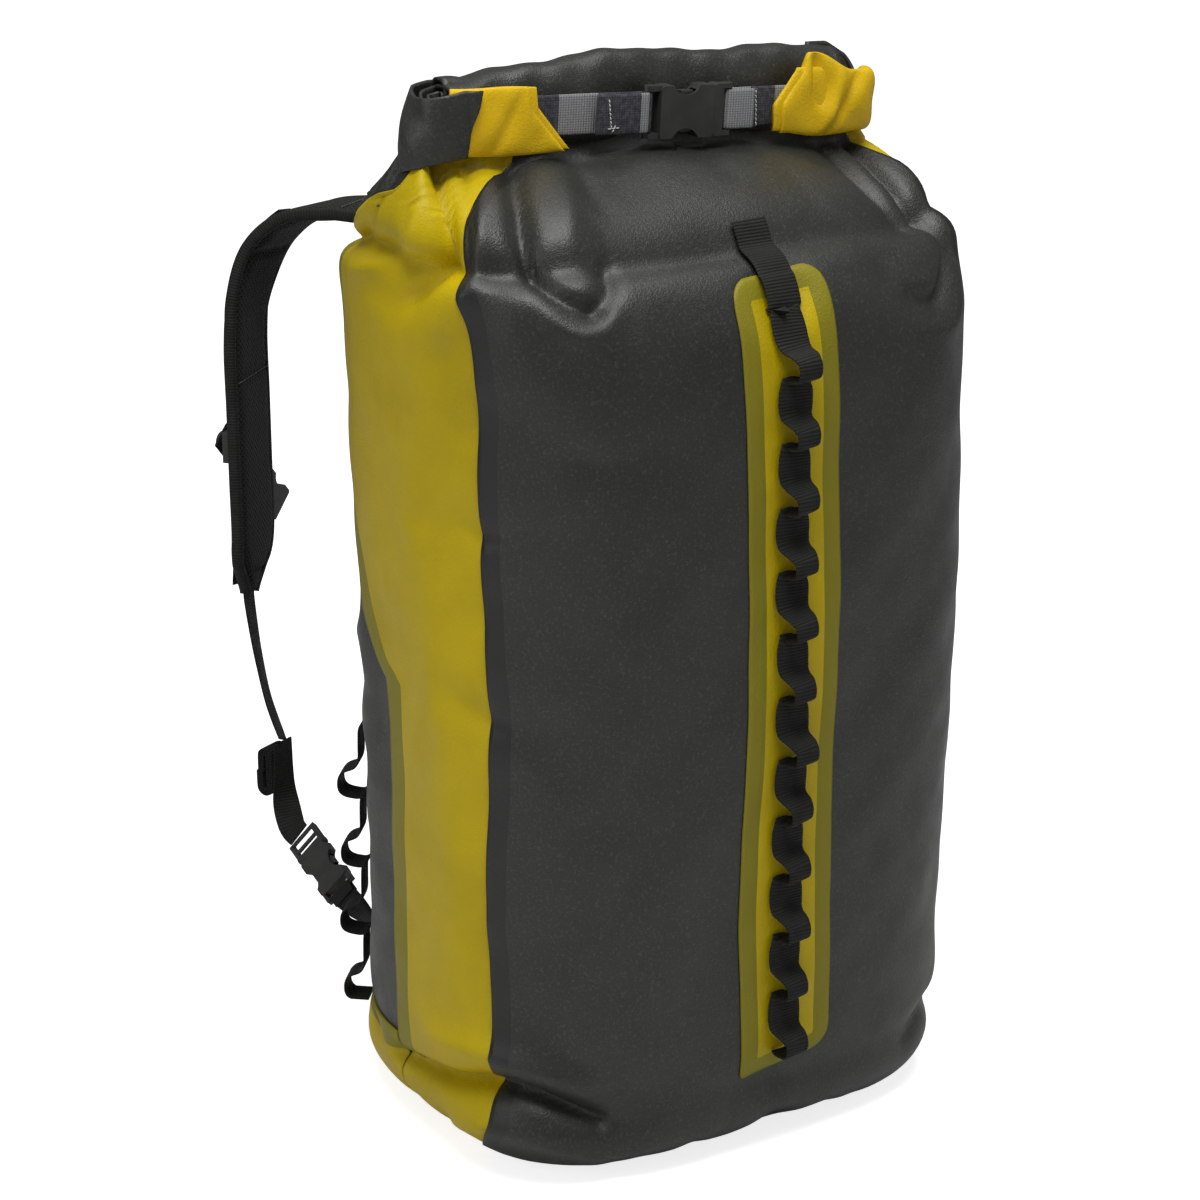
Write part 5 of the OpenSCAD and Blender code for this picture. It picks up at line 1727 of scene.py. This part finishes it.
def twisted(route, wide_a, wide_b, width, thickness, count=40):
    """Webbing along a route that turns from one width direction to another."""
    share = steps_between(0, 1, count)[:, None]
    wides = unit(np.array(wide_a) * (1 - share) + np.array(wide_b) * share)
    return ribbon_mesh(smooth_route(route, count), wides, width, thickness)


class PACKSACK_OT_lower_straps(bpy.types.Operator):
    """Builds the loose webbing, its rolled tail and the tabs of the lower buckles"""

    bl_idname = "packsack.lower_straps"
    bl_label = "Lower webbing"

    def execute(self, context):
        for name, side in SIDES.items():
            self.upper(name, side)
            self.lower(name, side)
            self.tail(name, side)
            self.tab(name, side)
        return {"FINISHED"}

    def upper(self, name, side):
        """The length above the tail. Its first points are inside the pad's tip."""
        y = hang_y()
        steps = [(7.6, -5.6, 307), (8, -6, 298), (7, -9.5, 275), (5, -12.5, 252), (3, -21, 224)]
        route = [np.array([HANG_X + a * MM, y + b * MM, c * MM]) for a, b, c in steps]
        route.append(beside_tail(TAIL_Z + straps().tail_height / 2 + 0.005))
        ribbon = twisted(route, facing(PAD_YAW), facing(WEB_YAW), *low_web())
        piece = webbing_piece(f"strap_web_{name}", ribbon, side, None)
        start, end = [np.array([side, 1, 1]) * point for point in (route[-1], route[1])]
        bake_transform(piece, "sack", f"strap_{name}", start=tuple(start), end=tuple(end))

    def lower(self, name, side):
        """The length below, which runs down beside the tail and into the lower buckle's plug."""
        bar = ladder_bar_place()
        half = straps().tail_height / 2
        route = [beside_tail(TAIL_Z + half + 0.004), beside_tail(TAIL_Z - half + 0.004),
                 hip_point(bar + 0.016, 0, 0.004), hip_point(bar + 0.001, 0, 0.0044)]
        ribbon = twisted(route, facing(TAIL_YAW), -hip_way(0, 1, 0), *low_web())
        piece = webbing_piece(f"ladder_web_{name}", ribbon, side, None)
        start, end = [np.array([side, 1, 1]) * point for point in (route[0], route[-2])]
        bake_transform(piece, "sack", f"hip_plug_{name}", start=tuple(start), end=tuple(end))

    def tail(self, name, side):
        """The strap's spare end, rolled up flat on itself."""
        sizes = straps()
        width, thickness = low_web()
        turns, core = 4, 0.0012
        grow = sizes.tail_thickness / 2 - core - thickness / 2
        slit = (sizes.tail_height - sizes.tail_thickness) / 2
        share = steps_between(0, 1, 160)
        reach = core + grow * share
        bearing = 2 * np.pi * turns * share
        rise = slit * np.tanh(6 * np.sin(bearing))
        route = np.stack([np.zeros_like(share), reach * np.cos(bearing), reach * np.sin(bearing) + rise], -1)
        ribbon = ribbon_mesh(route, (1, 0, 0), width, thickness * 0.95)
        place = Matrix.Translation(tail_place()) @ turned(TAIL_YAW, "Z")
        webbing_piece(f"rolled_tail_{name}", moved(ribbon, place), side)

    def tab(self, name, side):
        """The patch of webbing on the back panel, and the webbing from it to the lower buckle."""
        sizes = straps()
        skin = sack_skin()
        half = TAB_HEIGHT / 2
        turn, z = TAB_TURN, shape().band_height + shape().weld_gap + half
        out = shape().weld_gap + sizes.web_thickness

        def place(u, v):
            rise = (v - 0.5) * 2
            spread = 6.0 * (1 - 0.25 * np.abs(rise))
            return skin.place(turn + (u - 0.5) * 2 * spread, z + half * rise, out)

        patch = sheet_mesh(20, 20, place, lambda u, v: (u * 0.03, v * 0.036))
        patch = mirrored(patch, side)
        make_piece(f"hip_tab_{name}_cloth", patch, black_webbing(), "sack", "black_webbing",
                   [f"hip_tab_{name}"], wall=sizes.web_thickness)
        bar = bar_place()
        width, thickness = low_web()
        fold = ribbon_mesh(folded_route(0.009, 0.009), (0, 0, 1), sizes.web_width, sizes.web_thickness)
        moved(fold, hip_frame() @ Matrix.Translation((bar, 0, 0)) @ turned(90, "X"))
        normal = facing(plan_normal(skin, turn))
        tab_end = skin.place(np.array([turn]), np.array([z]), out + 0.0032)[0]
        sewn_end = hip_point(bar - 0.008, 0, 0)
        route = [sewn_end + (tab_end - sewn_end) * share for share in steps_between(0, 1, 3)]
        way = unit(np.cross(hip_way(1, 0, 0), normal))
        leg = twisted(route, -hip_way(0, 1, 0), way, width, 2 * thickness + 0.0012, 20)
        webbing_piece(f"hip_webbing_{name}", joined([fold, leg]), side)


CHEST_REACH = 0.046
CHEST_TURN = 12
CHEST_DROOP = 48


class PACKSACK_OT_chest_strap(bpy.types.Operator):
    """Builds the webbing of the hanging chest buckle halves"""

    bl_idname = "packsack.chest_strap"
    bl_label = "Chest webbing"

    def execute(self, context):
        sizes = straps()
        scale = sizes.chest_scale
        place = (Matrix.Translation((HANG_X, hang_y(), sizes.chest_height)) @ turned(PAD_YAW, "Z")
                 @ Matrix.Translation((0, rail_lift(), 0)) @ turned(CHEST_TURN, "Z")
                 @ Matrix.Translation((0, 0.0086, 0)) @ turned(180 - CHEST_DROOP, "Y")
                 @ Matrix.Translation((CHEST_REACH, 0, 0)))
        for name, side in SIDES.items():
            route = folded_route((CHEST_REACH + 0.009) / scale, 0.0125 / scale) * scale
            ribbon = ribbon_mesh(route, (0, 0, 1), sizes.web_width * scale, sizes.web_thickness * scale)
            webbing_piece(f"chest_web_{name}", moved(ribbon, place), side, f"chest_hang_{name}")
        return {"FINISHED"}


MOULDED_WORDS = ("buckle", "plug", "prong", "slider", "ring")
MOULDED_EDGE = 0.0005


class PACKSACK_OT_buckles(bpy.types.Operator):
    """Finishes the moulded buckles, plugs, prongs, rings and sliders"""

    bl_idname = "packsack.buckles"
    bl_label = "Buckles"

    def execute(self, context):
        plastic = moulded("black plastic", tint("plastic"))
        found = [(name, node) for name, node in frame["nodes"].items()
                 if any(word in name for word in MOULDED_WORDS)]
        if not found:
            raise RuntimeError("the frame has no moulded pieces")
        for name, node in found:
            bm = bmesh.new()
            bm.from_mesh(node.data)
            bmesh.ops.remove_doubles(bm, verts=bm.verts, dist=0.00002)
            bmesh.ops.dissolve_limit(bm, angle_limit=math.radians(1), verts=bm.verts, edges=bm.edges)
            piece = make_piece(f"{name}_moulded", bm, plastic, body_of(node)[0], "black_plastic", [name],
                               bevel=MOULDED_EDGE)
            piece.modifiers["Edges"].angle_limit = math.radians(40)
        return {"FINISHED"}


# ---- Stage ----
# The floor glows a little less near the sack, out to these distances, so that its shadow shows
GLOW_REACH = (0.45, 1.6)
GLOW = (0.80, 1.0)
LAMP_TARGET = (0, 0, 0.36)
# Name, place, size and watts
LAMPS = [
    ("key_softbox", (-0.35, -0.75, 2.35), (1.2, 0.8), 27),
    ("side_softbox", (-2.3, -0.3, 1.3), (1.1, 1.3), 8),
    ("fill_softbox", (1.8, -1.3, 1.3), (1.4, 1.4), 2.2),
    ("top_softbox", (0.1, 0.2, 2.3), (1.5, 0.9), 13),
]


class PACKSACK_OT_stage(bpy.types.Operator):
    """Sets the floor, the lamps and the camera"""

    bl_idname = "packsack.stage"
    bl_label = "Stage"

    def execute(self, context):
        self.floor()
        for name, place, size, watts in LAMPS:
            self.lamp(name, place, size, watts)
        self.world()
        self.camera()
        context.scene.view_settings.view_transform = "Standard"
        return {"FINISHED"}

    def floor(self):
        bm = bmesh.new()
        bmesh.ops.create_grid(bm, x_segments=1, y_segments=1, size=30)
        floor = placed("floor", mesh_from("floor", bm))
        material = bpy.data.materials.new("pale floor")
        material.use_nodes = True
        nodes, links = material.node_tree.nodes, material.node_tree.links
        nodes.clear()
        diffuse = nodes.new("ShaderNodeBsdfDiffuse")
        diffuse.inputs["Color"].default_value = (0.80, 0.80, 0.80, 1)
        glow = nodes.new("ShaderNodeEmission")
        place = nodes.new("ShaderNodeTexCoord")
        away = nodes.new("ShaderNodeVectorMath")
        away.operation = "LENGTH"
        links.new(place.outputs["Object"], away.inputs[0])
        far = nodes.new("ShaderNodeMapRange")
        far.interpolation_type = "SMOOTHSTEP"
        for socket, number in zip(RANGE_ENDS, (*GLOW_REACH, *GLOW)):
            far.inputs[socket].default_value = number
        links.new(away.outputs["Value"], far.inputs["Value"])
        links.new(far.outputs["Result"], glow.inputs["Strength"])
        both = nodes.new("ShaderNodeAddShader")
        path = nodes.new("ShaderNodeLightPath")
        pick = nodes.new("ShaderNodeMixShader")
        output = nodes.new("ShaderNodeOutputMaterial")
        links.new(diffuse.outputs[0], both.inputs[0])
        links.new(glow.outputs[0], both.inputs[1])
        links.new(path.outputs["Is Camera Ray"], pick.inputs[0])
        links.new(diffuse.outputs[0], pick.inputs[1])
        links.new(both.outputs[0], pick.inputs[2])
        links.new(pick.outputs[0], output.inputs["Surface"])
        floor.data.materials.append(material)

    def lamp(self, name, place, size, watts):
        light = bpy.data.lights.new(name, "AREA")
        light.shape = "RECTANGLE"
        light.size, light.size_y = size
        light.energy = watts
        lamp = placed(name, light)
        lamp.location = place
        lamp.rotation_euler = (Vector(LAMP_TARGET) - Vector(place)).to_track_quat("-Z", "Y").to_euler()

    def world(self):
        world = bpy.data.worlds.new("studio")
        world.use_nodes = True
        nodes, links = world.node_tree.nodes, world.node_tree.links
        ground = nodes["Background"]
        ground.inputs["Color"].default_value = (1, 1, 1, 1)
        ground.inputs["Strength"].default_value = 0.15
        seen = nodes.new("ShaderNodeBackground")
        seen.inputs["Color"].default_value = (1, 1, 1, 1)
        seen.inputs["Strength"].default_value = 1.0
        path = nodes.new("ShaderNodeLightPath")
        pick = nodes.new("ShaderNodeMixShader")
        links.new(path.outputs["Is Camera Ray"], pick.inputs[0])
        links.new(ground.outputs[0], pick.inputs[1])
        links.new(seen.outputs[0], pick.inputs[2])
        links.new(pick.outputs[0], nodes["World Output"].inputs["Surface"])
        bpy.context.scene.world = world

    def camera(self):
        settings = bpy.context.scene.stage_settings
        ahead = Vector((math.sin(settings.turn), math.cos(settings.turn), 0))
        beside = Vector((ahead.y, -ahead.x, 0))
        data = bpy.data.cameras.new("camera")
        data.lens = settings.lens
        data.sensor_width = 36
        data.clip_end = 100
        camera = placed("camera", data)
        spot = beside * settings.sideways - ahead * settings.distance
        camera.location = (spot.x, spot.y, settings.camera_height)
        looking = ahead * math.cos(settings.tilt) - Vector((0, 0, math.sin(settings.tilt)))
        camera.rotation_euler = looking.to_track_quat("-Z", "Y").to_euler()
        bpy.context.scene.camera = camera


class PACKSACK_PT_panel(bpy.types.Panel):
    """Lists the pieces of the sack in the sidebar"""

    bl_label = "Pack Sack"
    bl_idname = "PACKSACK_PT_panel"
    bl_space_type = "VIEW_3D"
    bl_region_type = "UI"
    bl_category = "Pack Sack"

    def draw(self, context):
        for operator in OPERATORS:
            self.layout.operator(operator.bl_idname)


OPERATORS = [
    PACKSACK_OT_panels, PACKSACK_OT_roll, PACKSACK_OT_mouth_strap, PACKSACK_OT_lash_strip,
    PACKSACK_OT_back_loops, PACKSACK_OT_shoulder_straps, PACKSACK_OT_lower_straps,
    PACKSACK_OT_chest_strap, PACKSACK_OT_buckles, PACKSACK_OT_stage,
]
SETTINGS = {
    "sack_shape": SackShape,
    "strap_shape": StrapShape,
    "sack_colours": SackColours,
    "stage_settings": StageSettings,
}


def register():
    for item in (*SETTINGS.values(), *OPERATORS, PACKSACK_PT_panel):
        bpy.utils.register_class(item)
    for name, item in SETTINGS.items():
        setattr(bpy.types.Scene, name, PointerProperty(type=item))


def unregister():
    for name in SETTINGS:
        delattr(bpy.types.Scene, name)
    for item in reversed((*SETTINGS.values(), *OPERATORS, PACKSACK_PT_panel)):
        bpy.utils.unregister_class(item)


def main():
    register()
    bpy.ops.packsack.panels()
    bpy.ops.packsack.roll()
    bpy.ops.packsack.mouth_strap()
    bpy.ops.packsack.lash_strip()
    bpy.ops.packsack.back_loops()
    bpy.ops.packsack.shoulder_straps()
    bpy.ops.packsack.lower_straps()
    bpy.ops.packsack.chest_strap()
    bpy.ops.packsack.buckles()
    bpy.ops.packsack.stage()


if __name__ == "__main__":
    main()
